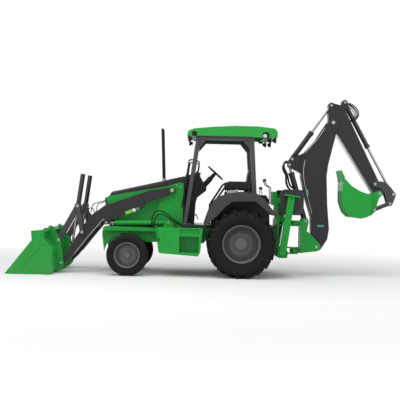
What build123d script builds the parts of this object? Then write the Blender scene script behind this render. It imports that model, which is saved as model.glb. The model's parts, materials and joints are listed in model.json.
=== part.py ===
import os
from math import atan2, cos, degrees, hypot, pi, radians, sin

from build123d import *

os.makedirs("parts", exist_ok=True)

# Backhoe loader, millimetres. +X forward, +Y the operator's left, +Z up, ground at Z 0.
# Every X below is measured forward of the rear axle; FRAME_X then moves the whole
# machine so that the frame's origin lies on the ground under the middle of its length.
FRAME_X = -672.0

# Wheels
WHEELBASE = 2142.0
REAR_R = 648.0
REAR_WIDTH = 495.0
REAR_OUT_Y = 1090.0
REAR_RIM_R = 338.0
FRONT_R = 392.0
FRONT_WIDTH = 280.0
FRONT_Y = 875.0
FRONT_RIM_R = 228.0
REAR_LUGS = 20
REAR_SIDES = 32
FRONT_SIDES = 26
LUG_HEIGHT = 34.0
LUG_WIDTH = 44.0
LUG_ANGLE = 36.0
RIB_DEPTH = 13.0
REAR_Y = REAR_OUT_Y - REAR_WIDTH / 2

# Front axle and steering
KINGPIN_Y = 690.0
KINGPIN_R = 25.0
BEAM_DEPTH = 120.0
BEAM_WIDTH = 130.0
STEER_ARM = 185.0
STEP_FRONT = WHEELBASE - 520.0
STEP_IN = 600.0
STEP_OUT = 980.0
AXLE_PIVOT_Z = 522.0
AXLE_PIVOT_R = 35.0
TIE_R = 19.0
SPINDLE_R = 32.0
FIT = 0.05
SIDE_GAP = 3.0
REAR_SEAT = REAR_WIDTH / 2 - 75.0
FRONT_SEAT = FRONT_WIDTH / 2 - 42.0
REAR_DISC = 10.0
AXLE_END = 575.0
AXLE_SHAFT_R = 60.0

# Frame
RAIL_Y = 400.0
RAIL_T = 25.0
RAIL_BOTTOM = 620.0
RAIL_TOP = 820.0
FRAME_FRONT = WHEELBASE + 540.0
FRAME_REAR = -700.0
ARCH_R = 455.0
ARCH_X = WHEELBASE + 48.0
ARCH_Z = 330.0

# Loader arms: places of the pins in the arm's plane
ARM_Y = 520.0
ARM_HALF = 55.0
ARM_T = 20.0
ARM_PIVOT = (1336.0, 1634.0)
LIFT_BASE = (1391.0, 1008.0)
LIFT_ROD = (2588.0, 980.0)
BUCKET_HINGE = (3437.0, 192.0)
BELL_PIN = (3045.0, 790.0)
LINK_PIN = (3143.0, 1287.0)
BUCKET_LINK_PIN = (3498.0, 625.0)
ROD_PIN = (3242.0, 517.0)
PIN_R = 25.0
LINK_T = 22.0
LINK_GAP = 6.0
CYL_R = 50.0
ROD_R = 25.0
CROSS_TUBE = (2868.0, 935.0)
CROSS_TUBE_R = 75.0
LINK_IN = ARM_HALF + 7.0
LINK_OUT = LINK_IN + 2 * LINK_T + LINK_GAP
PIN_REACH = LINK_OUT
PIN_SPAN = hypot(LINK_PIN[0] - ROD_PIN[0], LINK_PIN[1] - ROD_PIN[1])
LEDGE_OUT = ARM_Y + 45.0

# Loader bucket
BUCKET_HALF = 1090.0
BUCKET_TIP_X = 4404.0
SIDE_T = 16.0
RIB_T = 8.0

# Cab
POST_Y = 600.0
POST_D = 60.0
ROOF_FRONT = 1070.0
ROOF_REAR = -660.0
ROOF_HALF = 690.0
ROOF_LOW = 2690.0
FLOOR_Z = 985.0
FLOOR_T = 40.0
FENDER_IN = 560.0
FENDER_OUT = 1050.0
HOOD_HALF = 370.0
HOOD_SKIN = 12.0
HOOD_PIN = (2560.0, 990.0)
HOOD_PIN_R = 12.0
HOOD_BOSS = 8.0
HOOD_PLATE = 14.0
ENGINE_SEAT = 800.0
ENGINE_TOP = 1560.0
DASH_X = 1118.0
DASH_T = 28.0
SEAT_X = 50.0
SEAT_Z = 1440.0
WHEEL_PLACE = (499.0, 2002.0)
WHEEL_R = 184.0
CONSOLE_HALF = 160.0
HOOD_SEAM = 1462.0

# Backhoe: places of the pins in the middle plane
SWING_X = -1095.0
BOOM_FOOT = (-1520.0, 589.0)
BOOM_CYL_BASE = (-1300.0, 1091.0)
BOOM_LUG = (-961.0, 2200.0)
DIPPER_CYL_BASE = (-1012.0, 2312.0)
DIPPER_PIVOT = (-1805.0, 3054.0)
DIPPER_LEVER = (-1768.0, 3394.0)
BHK_CYL_BASE = (-2034.0, 3461.0)
GUIDE_PIN = (-2664.0, 1857.0)
BHK_PIVOT = (-2755.0, 1670.0)
CRESCENT_PIN = (-2967.0, 1477.0)
CRESCENT_ROD = (-3028.0, 1662.0)
BHK_LINK_PIN = (-2655.0, 1345.0)
BOOM_HALF = 130.0
DIPPER_HALF = 85.0
PLATE = 20.0
BHK_HALF = 305.0
BASE_PIN_R = 25.0
SWING_PIN_R = 35.0
SWING_EARS = ((430.0, 455.0), (545.0, 570.0), (985.0, 1010.0), (1075.0, 1100.0))
SWING_BOSSES = ((458.0, 542.0), (1013.0, 1072.0))

# Stabilizers
STAB_PIN = (-800.0, 470.0)
STAB_LEG_Y = 720.0
STAB_PIN_R = 28.0
STAB_TILT = 7.7
STAB_CYL_BASE = (-345.0, 640.0)
STAB_CYL_ROD = (-103.0, 147.0)


def outline(points, y_low, y_high):
    """A side-view outline in X and Z, drawn out from one Y to another."""
    plane = Plane(origin=(0, y_high, 0), x_dir=(1, 0, 0), z_dir=(0, -1, 0))
    return extrude(plane * Polygon(*points, align=None), amount=y_high - y_low, dir=(0, -1, 0))


def cross_cylinder(place, radius, y_low, y_high):
    return Pos(place[0], (y_low + y_high) / 2, place[1]) * Rot(90, 0, 0) * Cylinder(radius, y_high - y_low)


def block(x_low, x_high, y_low, y_high, z_low, z_high):
    middle = ((x_low + x_high) / 2, (y_low + y_high) / 2, (z_low + z_high) / 2)
    return Pos(*middle) * Box(x_high - x_low, y_high - y_low, z_high - z_low)


def mirrored(solid):
    return mirror(solid, about=Plane.XZ)


def tube(points, radius, corner):
    """A round bar along a bent line."""
    path = FilletPolyline(*points, radius=corner)
    section = Plane(origin=path @ 0, z_dir=path % 0) * Circle(radius)
    return sweep(section, path=path)


def height_on(points, x):
    """Height of a falling or rising line of points at one X."""
    for (x_a, z_a), (x_b, z_b) in zip(points, points[1:]):
        if min(x_a, x_b) <= x <= max(x_a, x_b):
            return z_a + (z_b - z_a) * (x - x_a) / (x_b - x_a)


def between(a, b, start, end, radius, y):
    """A round bar in the plane at Y, along the line from pin a to pin b."""
    length = hypot(b[0] - a[0], b[1] - a[1])
    along = ((b[0] - a[0]) / length, (b[1] - a[1]) / length)
    middle = (start + end) / 2
    axis = Vector(along[0], 0, along[1])
    place = Vector(a[0] + along[0] * middle, y, a[1] + along[1] * middle)
    plane = Plane(origin=place, x_dir=(0, 1, 0), z_dir=axis)
    return plane * Cylinder(radius, end - start)


def save(shape, name):
    export_step(Pos(FRAME_X, 0, 0) * shape, f"parts/{name}.step")


def wheel_profile(points):
    """A half section, radius and width, turned about the wheel's own Y axis."""
    section = Plane.XY * Polygon(*points, align=None)
    return revolve(section, axis=Axis.Y)


def facet_stack(rows, sides, clear=False):
    """Regular polygons at their widths, joined by flat faces; clear ones keep the radius at their flats."""
    grow = 1 / cos(pi / sides) if clear else 1.0
    sections = []
    for width, radius in rows:
        plane = Plane(origin=(0, width, 0), x_dir=(0, 0, 1), z_dir=(0, 1, 0))
        sections.append(plane * RegularPolygon(radius * grow, sides))
    return loft(sections, ruled=True)


def hollowed_casing(rows, sides, bead, seat, flare, wide):
    """A tyre's casing: rows give width and radius of the outside, the flare runs from the bead to the side."""
    casing = facet_stack(rows, sides)
    casing -= facet_stack([(-seat - 30, bead), (seat + 30, bead)], sides, True)
    for side in (1, -1):
        dish = [(side * seat, bead), (side * (seat + flare), bead + flare), (side * (wide + 5), rows[0][1] - 2)]
        casing -= facet_stack(dish, sides, True)
    return casing


def rear_tyre():
    half = REAR_WIDTH / 2
    base = REAR_R - LUG_HEIGHT
    side_r = base - 110
    shoulder = half - 34
    rows = [(-half, side_r), (-half + 3, side_r + 50), (-shoulder, base - 6), (shoulder, base - 6),
            (half - 3, side_r + 50), (half, side_r)]
    tyre = hollowed_casing(rows, REAR_SIDES, REAR_RIM_R, REAR_SEAT, 24, half)
    reach = (half - 22) / cos(radians(LUG_ANGLE))
    crown = REAR_R - 9
    profile = [(0, base - 30), (0, crown), (reach - 46, crown), (reach, crown - 26), (reach, side_r + 44)]
    across = Plane(origin=(-LUG_WIDTH / 2, 0, 0), x_dir=(0, 1, 0), z_dir=(1, 0, 0))
    lug = extrude(across * Polygon(*profile, align=None), amount=LUG_WIDTH, dir=(1, 0, 0))
    lugs = []
    for number in range(REAR_LUGS):
        left = Pos(-reach / 2 * sin(radians(LUG_ANGLE)), 0, 0) * Rot(0, 0, -LUG_ANGLE) * lug
        lugs.append(Rot(0, 360 / REAR_LUGS * number, 0) * left)
        lugs.append(Rot(0, 360 / REAR_LUGS * (number + 0.5), 0) * mirrored(left))
    return tyre + lugs


def front_tyre():
    half = FRONT_WIDTH / 2
    groove = FRONT_R - RIB_DEPTH
    right = [(20, FRONT_R), (26, groove), (42, groove), (48, FRONT_R - 1), (half - 28, FRONT_R - 5),
             (half, FRONT_R - 82)]
    left = [(-width, radius) for width, radius in reversed(right)]
    return hollowed_casing(left + right, FRONT_SIDES, FRONT_RIM_R, FRONT_SEAT, 18, half)


def rim(bead, seat, flange, disc, dish, hub_r, hub_in, hub_out, bore_r, bolt_circle, bolt_r, bolts):
    """Disc wheel about its own Y axis; seat is half the width between the beads."""
    skin = bead - 0.3
    ring = wheel_profile([
        (bead + flange, seat + flange + 2), (skin, seat + 1), (skin, -seat - 1), (bead + flange, -seat - flange - 2),
        (bead + flange, -seat - flange - 10), (bead + flange - 10, -seat - flange - 10), (bead - 14, -seat - 4),
        (bead - 14, seat + 4), (bead + flange - 10, seat + flange + 10), (bead + flange, seat + flange + 10),
    ])
    flat = bolt_circle + 3 * bolt_r
    plate = wheel_profile([(0, disc), (flat, disc), (bead - 13, disc + dish), (bead - 13, disc + dish - 16),
                           (flat, disc - 16), (0, disc - 16)])
    hub = wheel_profile([(0, -hub_in), (hub_r, -hub_in), (hub_r, disc + hub_out - 12), (hub_r - 12, disc + hub_out),
                         (0, disc + hub_out)])
    nuts = []
    for number in range(bolts):
        nut = Pos(0, disc + bolt_r * 0.6, bolt_circle) * Rot(90, 0, 0) * Cylinder(bolt_r, bolt_r * 1.3)
        nuts.append(Rot(0, number * 360 / bolts, 0) * nut)
    wheel = ring + plate + hub + nuts
    bore_end = disc + hub_out - 20
    return wheel - Pos(0, (bore_end - 400) / 2, 0) * Rot(90, 0, 0) * Cylinder(bore_r + FIT, bore_end + 400)


def at_wheel(shape, x, y, z, side):
    placed = Pos(x, y, z) * shape
    return placed if side > 0 else mirrored(placed)


def front_axle():
    beam_top = FRONT_R + BEAM_DEPTH / 2
    beam = block(WHEELBASE - BEAM_WIDTH / 2, WHEELBASE + BEAM_WIDTH / 2, -KINGPIN_Y + 30, KINGPIN_Y - 30,
                 FRONT_R - BEAM_DEPTH / 2, beam_top)
    crown = [(-250, beam_top - 1), (250, beam_top - 1), (60, AXLE_PIVOT_Z + 40), (-60, AXLE_PIVOT_Z + 40)]
    plane = Plane(origin=(WHEELBASE - BEAM_WIDTH / 2, 0, 0), x_dir=(0, 1, 0), z_dir=(1, 0, 0))
    beam += extrude(plane * Polygon(*crown, align=None), amount=BEAM_WIDTH, dir=(1, 0, 0))
    beam += Pos(WHEELBASE, 0, AXLE_PIVOT_Z) * Rot(0, 90, 0) * Cylinder(AXLE_PIVOT_R + 27, BEAM_WIDTH)
    beam -= Pos(WHEELBASE, 0, AXLE_PIVOT_Z) * Rot(0, 90, 0) * Cylinder(AXLE_PIVOT_R + FIT, BEAM_WIDTH + 10)
    for side in (1, -1):
        eye = Pos(WHEELBASE, side * KINGPIN_Y, FRONT_R) * Cylinder(KINGPIN_R + 24, BEAM_DEPTH)
        beam += eye
        beam -= Pos(WHEELBASE, side * KINGPIN_Y, FRONT_R) * Cylinder(KINGPIN_R + FIT, BEAM_DEPTH + 10)
    return beam


def knuckle():
    """Left knuckle: a fork over the axle's eye with its pin, the spindle and the steering arm."""
    eye_r = KINGPIN_R + 24
    cheek = 24.0
    half = BEAM_DEPTH / 2 + SIDE_GAP
    stand = KINGPIN_Y + eye_r + 6
    body = Pos(WHEELBASE, KINGPIN_Y, FRONT_R) * Cylinder(KINGPIN_R, 2 * (half + cheek))
    for level in (half + cheek / 2, -half - cheek / 2):
        body += Pos(WHEELBASE, KINGPIN_Y, FRONT_R + level) * Cylinder(eye_r - 6, cheek)
        body += block(WHEELBASE - 36, WHEELBASE + 36, KINGPIN_Y, stand + 20, FRONT_R + level - cheek / 2,
                      FRONT_R + level + cheek / 2)
    body += block(WHEELBASE - 36, WHEELBASE + 36, stand, stand + 20, FRONT_R - half - cheek, FRONT_R + half + cheek)
    body += cross_cylinder((WHEELBASE, FRONT_R), SPINDLE_R, stand, FRONT_Y + 20)
    arm_z = FRONT_R - half - cheek / 2
    body += block(WHEELBASE - STEER_ARM, WHEELBASE, KINGPIN_Y - 22, KINGPIN_Y + 22, arm_z - cheek / 2,
                  arm_z + cheek / 2)
    body += Pos(WHEELBASE - STEER_ARM, KINGPIN_Y, arm_z) * Cylinder(30, cheek)
    return body + Pos(WHEELBASE - STEER_ARM, KINGPIN_Y, arm_z + 24) * Cylinder(12, cheek + 48)


def tie_rod():
    level = FRONT_R - BEAM_DEPTH / 2 - SIDE_GAP - 12 + 30
    rod = cross_cylinder((WHEELBASE - STEER_ARM, level), TIE_R - 4, -KINGPIN_Y + 20, KINGPIN_Y - 20)
    for side in (1, -1):
        rod += Pos(WHEELBASE - STEER_ARM, side * KINGPIN_Y, level) * Cylinder(26, 28)
        rod -= Pos(WHEELBASE - STEER_ARM, side * KINGPIN_Y, level) * Cylinder(12 + FIT, 40)
    return rod


def rear_axle():
    housing = cross_cylinder((0, REAR_R), 95, -AXLE_END, AXLE_END)
    housing += cross_cylinder((0, REAR_R), 190, -150, 150)
    for side in (1, -1):
        housing += cross_cylinder((0, REAR_R), 175, min(side * (AXLE_END - 70), side * AXLE_END),
                                  max(side * (AXLE_END - 70), side * AXLE_END))
        shaft_end = REAR_Y + REAR_DISC + 20
        housing += cross_cylinder((0, REAR_R), AXLE_SHAFT_R, min(0, side * shaft_end), max(0, side * shaft_end))
    return housing


def hood_bracket():
    """Plate and pin that the left side of the hood tips forward on."""
    plate_y = HOOD_HALF - HOOD_SKIN - HOOD_BOSS - SIDE_GAP - HOOD_PLATE
    x, z = HOOD_PIN
    bracket = block(x - 120, x - 50, plate_y, RAIL_Y - 5, RAIL_TOP - 30, RAIL_TOP + 15)
    web = [(x, z - 30), (x - 50, RAIL_TOP), (x - 120, RAIL_TOP), (x - 27, z + 12)]
    bracket += outline(web, plate_y, plate_y + HOOD_PLATE)
    bracket += cross_cylinder(HOOD_PIN, 30, plate_y, plate_y + HOOD_PLATE)
    return bracket + cross_cylinder(HOOD_PIN, HOOD_PIN_R, plate_y, HOOD_HALF - 6)


def main_frame():
    """Side rails with the wheel arches, cross members, loader towers and the brackets on them."""
    rail = [
        (FRAME_FRONT, RAIL_TOP), (FRAME_FRONT - 2, 740), (FRAME_FRONT - 60, 300), (FRAME_FRONT - 182, 300),
        (ARCH_X - 341, RAIL_BOTTOM),
        (700, RAIL_BOTTOM), (560, 850), (-560, 850), (FRAME_REAR, 780), (FRAME_REAR, FLOOR_Z - FLOOR_T),
        (DASH_X, FLOOR_Z - FLOOR_T), (1240, 880), (1600, 880), (1640, RAIL_TOP),
    ]
    frame = outline(rail, RAIL_Y - RAIL_T, RAIL_Y)
    frame -= cross_cylinder((ARCH_X, ARCH_Z), ARCH_R, RAIL_Y - 60, RAIL_Y + 60)
    tower = [(1118, 870), (1118, 1775), (1190, 1790), (1430, 1715), (1500, 1560), (1700, 1060), (1700, 870)]
    frame += outline(tower, RAIL_Y - RAIL_T, ARM_Y - ARM_HALF - 12)
    frame += cross_cylinder(ARM_PIVOT, 30 - FIT, RAIL_Y, ARM_Y + ARM_HALF + 16)
    frame += cross_cylinder(ARM_PIVOT, 46, ARM_Y + ARM_HALF + 4, ARM_Y + ARM_HALF + 16)
    front = FRAME_FRONT
    ledge = [(front - 42, 830), (front - 27, 860), (front - 42, 900), (front - 82, 915), (1560, 905), (1560, 830)]
    frame += outline(ledge, RAIL_Y - RAIL_T, LEDGE_OUT)
    bracket = [(1300, 870), (1300, 1040), (1350, 1075), (1430, 1075), (1500, 930), (1560, 870)]
    for y_low in (ARM_Y - 74, ARM_Y + 54):
        frame += outline(bracket, y_low, y_low + 20)
    frame += outline([(1300, 870), (1300, 925), (1590, 905), (1590, 870)], RAIL_Y - RAIL_T, ARM_Y + 74)
    frame += hood_bracket()
    frame += cross_cylinder(LIFT_BASE, PIN_R, ARM_Y - 74, ARM_Y + 78)
    frame += mirrored(frame)
    inner = RAIL_Y - RAIL_T
    members = [
        block(FRAME_FRONT - 30, FRAME_FRONT - 2, -inner, inner, 745, RAIL_TOP),
        block(ARCH_X + 140, ARCH_X + 260, -inner, inner, 640, ENGINE_SEAT),
        block(ARCH_X - 250, ARCH_X + 140, -150, 150, 690, ENGINE_SEAT),
        block(ARCH_X - 350, ARCH_X - 230, -inner, inner, 640, ENGINE_SEAT),
        block(1250, 1350, -inner, inner, 700, ENGINE_SEAT),
        block(700, 800, -inner, inner, 640, 760),
        block(FRAME_REAR, FRAME_REAR + 40, -inner, inner, 780, 940),
    ]
    frame += members
    saddle = [(-150, 850), (-110, REAR_R + 60), (110, REAR_R + 60), (150, 850)]
    for side in (1, -1):
        seat = outline(saddle, min(side * 250, side * 374), max(side * 250, side * 374))
        seat -= cross_cylinder((0, REAR_R), 95 + 0.3, -400, 400)
        frame += seat + block(-150, 150, min(side * 250, side * 380), max(side * 250, side * 380), 850, 880)
    for near, far in ((BEAM_WIDTH / 2 + 5, BEAM_WIDTH / 2 + 30), (-BEAM_WIDTH / 2 - 30, -BEAM_WIDTH / 2 - 5)):
        frame += block(WHEELBASE + near, WHEELBASE + far, -90, 90, AXLE_PIVOT_Z - 60, 700)
    return frame + Pos(WHEELBASE, 0, AXLE_PIVOT_Z) * Rot(0, 90, 0) * Cylinder(AXLE_PIVOT_R, BEAM_WIDTH + 84)


def engine():
    body = block(1250, 2150, -240, 240, ENGINE_SEAT, 1380)
    body += block(1300, 2050, -150, 150, 1370, ENGINE_TOP)
    radiator = block(2340, 2430, -320, 320, ENGINE_SEAT, 1440)
    return Compound([body, radiator])


def band_z(x):
    """Height of the lower edge of the hood's dark band."""
    return 1500 + (2563 - x) * 0.1866


def crown_z(x):
    """Height of the hood's top line."""
    return 1581 + (2517 - x) * 0.238


def hood_top():
    front, rear = 2563.0, HOOD_SEAM + 4
    top = [(front, band_z(front)), (2517, crown_z(2517)), (rear, crown_z(rear)), (rear, band_z(rear))]
    shell = outline(top, -HOOD_HALF, HOOD_HALF)
    long_edges = shell.edges().filter_by(lambda edge: edge.length > 900).sort_by(Axis.Z)[-2:]
    shell = fillet(long_edges, 45)
    inner = [(front - 2 * HOOD_SKIN, band_z(front) - 40), (2517 - HOOD_SKIN, crown_z(2517) - HOOD_SKIN),
             (HOOD_SEAM - 60, crown_z(HOOD_SEAM) - HOOD_SKIN), (HOOD_SEAM - 60, band_z(HOOD_SEAM) - 60)]
    hollow = outline(inner, -HOOD_HALF + HOOD_SKIN, HOOD_HALF - HOOD_SKIN)
    return shell - hollow - block(HOOD_SEAM - 20, HOOD_SEAM + 125, -52, 52, 1500, 2000)


def hood_sides():
    side = [(2610, 1462), (2572, band_z(2572)), (HOOD_SEAM + 4, band_z(HOOD_SEAM + 4)), (HOOD_SEAM + 4, 1000),
            (1700, 960), (2640, 960), (2648, 1300)]
    panel = outline(side, HOOD_HALF - HOOD_SKIN, HOOD_HALF)
    panel += cross_cylinder(HOOD_PIN, 26, HOOD_HALF - HOOD_SKIN - HOOD_BOSS, HOOD_HALF - HOOD_SKIN)
    panel -= cross_cylinder(HOOD_PIN, HOOD_PIN_R + FIT, HOOD_HALF - HOOD_SKIN - HOOD_BOSS - 5, HOOD_HALF - 5)
    return Compound([panel, mirrored(panel)])


def grille():
    inside = HOOD_HALF - HOOD_SKIN - 0.3
    frame = outline([(2606, 1455), (2572, band_z(2572) - 6), (2555, 1440), (2605, 960), (2636, 960), (2644, 1300)],
                    -inside, inside)
    window = block(2500, 2700, -inside + 48, inside - 48, 1020, 1400)
    bars = [block(2592, 2612, -inside + 40, inside - 40, z, z + 12) for z in range(1050, 1390, 36)]
    return (frame - window) + bars


def cowl():
    """Fixed rear part of the hood with the dash wall behind it."""
    front, rear = HOOD_SEAM - 4, DASH_X
    top = [(front, band_z(front)), (front, crown_z(front)), (rear, crown_z(rear)), (rear, band_z(rear))]
    shell = outline(top, -HOOD_HALF, HOOD_HALF)
    inside = HOOD_HALF - HOOD_SKIN
    shell -= outline([(front + 40, 1500), (front + 40, crown_z(front + 40) - HOOD_SKIN),
                      (rear + 22, crown_z(rear + 22) - HOOD_SKIN), (rear + 22, 1500)], -inside, inside)
    return shell + block(rear - DASH_T, rear, -HOOD_HALF, HOOD_HALF, FLOOR_Z, crown_z(rear))


def side_panels():
    front, rear = HOOD_SEAM - 4, DASH_X
    side = [(front, 1000), (front, band_z(front)), (rear, band_z(rear)), (rear, 1000)]
    panel = outline(side, HOOD_HALF - HOOD_SKIN, HOOD_HALF)
    return Compound([panel, mirrored(panel)])


def exhaust():
    stack = Pos(1540, 0, 2280) * Rot(0, 2.6, 0) * Cylinder(32, 1180)
    tip = Pos(1566, 0, 2860) * Rot(0, -25, 0) * Cylinder(90, 60, align=(Align.CENTER, Align.CENTER, Align.MIN))
    muffler = Pos(1512, 0, ENGINE_TOP + 75) * Cylinder(44, 150)
    return stack + muffler - tip


def platform():
    """Floor of the operator's station with the post that the seat turns on."""
    deck = block(716, DASH_X, -700, 700, FLOOR_Z - FLOOR_T, FLOOR_Z)
    deck += block(FRAME_REAR, 717, -FENDER_IN, FENDER_IN, FLOOR_Z - FLOOR_T, FLOOR_Z)
    post = Pos(SEAT_X, 0, (FLOOR_Z + SEAT_Z) / 2) * Cylinder(90, SEAT_Z - FLOOR_Z)
    foot = Pos(SEAT_X, 0, FLOOR_Z + 60) * Cone(190, 120, 120)
    return deck + post + foot


FENDER_TOP = [(713, 981), (578, 1377), (440, 1524), (287, 1588), (36, 1635), (-274, 1601), (-420, 1496), (-555, 1321),
              (-715, 1182)]
FENDER_ARCH = [(-559, 1203), (-400, 1329), (-242, 1458), (174, 1446), (315, 1347), (466, 1177), (688, 968)]


def fenders():
    shell = outline(FENDER_TOP + FENDER_ARCH, FENDER_IN, FENDER_OUT)
    roomy = [(690, 940), (560, 1340), (430, 1505), (280, 1572), (36, 1620), (-262, 1586), (-408, 1486), (-545, 1310),
             (-660, 1200), (-500, 1100), (0, 1300), (500, 1000)]
    shell -= outline(roomy, FENDER_IN + 12, FENDER_OUT - 14)
    wall = [(560, FLOOR_Z - FLOOR_T), (440, 1500), (280, 1570), (36, 1618), (-262, 1585), (-400, 1486), (-540, 1310),
            (-560, FLOOR_Z - FLOOR_T)]
    shell += outline(wall, FENDER_IN, FENDER_IN + 12)
    return Compound([shell, mirrored(shell)])


def step_boxes():
    """Box with an open step in its side, and a closed front part with a cut corner."""
    front = STEP_FRONT
    side = [(front - 20, 925), (front, 890), (front - 71, 462), (front - 120, 440), (1148, 419), (805, 398),
            (767, 481), (731, 925)]
    box = outline(side, STEP_IN, STEP_OUT)
    plan = [(700, STEP_IN), (front + 20, STEP_IN), (front + 20, STEP_OUT - 90), (front - 60, STEP_OUT), (700, STEP_OUT)]
    box &= extrude(Plane.XY * Polygon(*plan, align=None), amount=1200, dir=(0, 0, 1))
    box -= block(800, 1166, STEP_OUT - 220, STEP_OUT + 20, 465, 767)
    box -= block(787, 1160, STEP_OUT - 30, STEP_OUT + 20, 822, 905)
    box -= block(790, 1150, STEP_OUT - 220, STEP_OUT - 60, 822, 940)
    box -= outline([(front - 150, 520), (front - 150, 840), (front - 270, 840), (front - 270, 500)], STEP_OUT - 6,
                   STEP_OUT + 20)
    box += block(820, 1500, RAIL_Y, STEP_IN + 5, 700, 800)
    return Compound([box, mirrored(box)])


FRONT_POST = [(1110, FLOOR_Z), (1040, FLOOR_Z), (815, ROOF_LOW), (890, ROOF_LOW)]


def rops_frame():
    """Four leaning posts on the platform and the fenders, tied by rails under the roof."""
    low, high = -290, -205
    rear = [(low, height_on(FENDER_TOP, low)), FENDER_TOP[5], (high, height_on(FENDER_TOP, high)), (-130, ROOF_LOW),
            (-215, ROOF_LOW)]
    half = POST_D / 2
    frame = outline(FRONT_POST, POST_Y - half, POST_Y + half) + outline(rear, POST_Y - half, POST_Y + half)
    frame += block(-215, 890, POST_Y - half, POST_Y + half, ROOF_LOW - 70, ROOF_LOW)
    frame += outline([(830, ROOF_LOW - 60), (840, ROOF_LOW - 240), (690, ROOF_LOW - 60)], POST_Y - 8, POST_Y + 8)
    frame += outline([(-150, ROOF_LOW - 60), (-165, ROOF_LOW - 260), (0, ROOF_LOW - 60)], POST_Y - 8, POST_Y + 8)
    frame += outline([(1116, FLOOR_Z), (960, FLOOR_Z), (960, FLOOR_Z + 14), (1116, FLOOR_Z + 14)], POST_Y - 60,
                     POST_Y + 60)
    frame += mirrored(frame)
    frame += block(815, 890, -POST_Y, POST_Y, ROOF_LOW - 70, ROOF_LOW)
    return frame + block(-215, -130, -POST_Y, POST_Y, ROOF_LOW - 70, ROOF_LOW)


def grab_rails():
    """Bent tubes before and behind the front posts and at both sides of the seat."""
    lean = (815 - 1040) / (ROOF_LOW - FLOOR_Z)
    foot = 1075 - lean * FLOOR_Z
    y = POST_Y
    hoop = None
    for reach, low, high in ((108, 1300, 2228), (-92, 1935, 2205)):
        x_low, x_high = foot + lean * low, foot + lean * high
        bow = tube([(x_low, y, low), (x_low + reach, y, low), (x_high + reach, y, high), (x_high, y, high)], 13, 36)
        hoop = bow if hoop is None else hoop + bow
    hoop -= outline(FRONT_POST, y - POST_D, y + POST_D)
    y = FENDER_IN - 26
    rail = tube([(600, y, FLOOR_Z), (600, y, 1370), (340, y, 1790), (225, y, 1790), (225, y, FLOOR_Z)], 13, 50)
    rail += tube([(555, y, FLOOR_Z), (555, y, 1340), (300, y, 1735), (270, y, 1690), (270, y, FLOOR_Z)], 11, 20)
    return Compound([hoop, mirrored(hoop), rail, mirrored(rail)])


def canopy_roof():
    profile = [(ROOF_FRONT, ROOF_LOW), (ROOF_FRONT - 20, 2780), (940, 2826), (540, 2868), (140, 2892), (-280, 2892),
               (-610, 2858), (ROOF_REAR, 2800), (ROOF_REAR, ROOF_LOW)]
    roof = outline(profile, -ROOF_HALF, ROOF_HALF)
    hollow = [(ROOF_FRONT - 170, ROOF_LOW - 10), (ROOF_FRONT - 190, 2790), (ROOF_REAR + 260, 2810),
              (ROOF_REAR + 240, ROOF_LOW - 10)]
    return roof - outline(hollow, -ROOF_HALF + 130, ROOF_HALF - 130)


def knob(x, y, z):
    """Turned handle of a lever, its foot at the given place."""
    profile = [(0, 0), (11, 0), (20, 22), (20, 44), (9, 60), (0, 60)]
    return Pos(x, y, z) * revolve(Plane.XZ * Polygon(*profile, align=None), axis=Axis.Z)


def steering_column():
    """Front console with the column and the steering wheel."""
    console = [(DASH_X - DASH_T, FLOOR_Z), (DASH_X - DASH_T, 1955), (817, 1955), (745, 1827), (674, 1715), (675, 1647),
               (852, 1505), (880, 1400), (900, FLOOR_Z)]
    body = outline(console, -CONSOLE_HALF, CONSOLE_HALF)
    place = Plane(origin=(WHEEL_PLACE[0], 0, WHEEL_PLACE[1]), x_dir=(0, 1, 0), z_dir=(-0.66, 0, 0.75))
    grip = Plane.XZ * Pos(WHEEL_R, 0, 0) * RegularPolygon(15, 6)
    wheel = revolve(grip, axis=Axis.Z) + Pos(0, 0, -4) * Cylinder(38, 26)
    for turn in (90, 210, 330):
        wheel += Rot(0, 0, turn) * Pos(WHEEL_R / 2, 0, -2) * Box(WHEEL_R, 30, 9)
    column = Pos(0, 0, -200) * Cylinder(30, 380)
    return body + place * (wheel + column)


def seat():
    cushion = block(-110, 330, -240, 240, SEAT_Z + 0.3, SEAT_Z + 140)
    lean, rise = -100, 610
    plan = [(-60, -225), (-60, 225), (-86, 203), (-140, 110), (-140, -110), (-86, -203)]
    base = Plane.XY.offset(SEAT_Z + 60) * Polygon(*plan, align=None)
    back = extrude(base, amount=hypot(lean, rise), dir=(lean, 0, rise))
    rest = [(-150, 1650), (-180, 1780), (-170, 1840), (140, 1840), (322, 1760), (322, 1680), (240, 1650)]
    arm = outline(rest, 215, 295)
    return cushion + back + arm + mirrored(arm)


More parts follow.
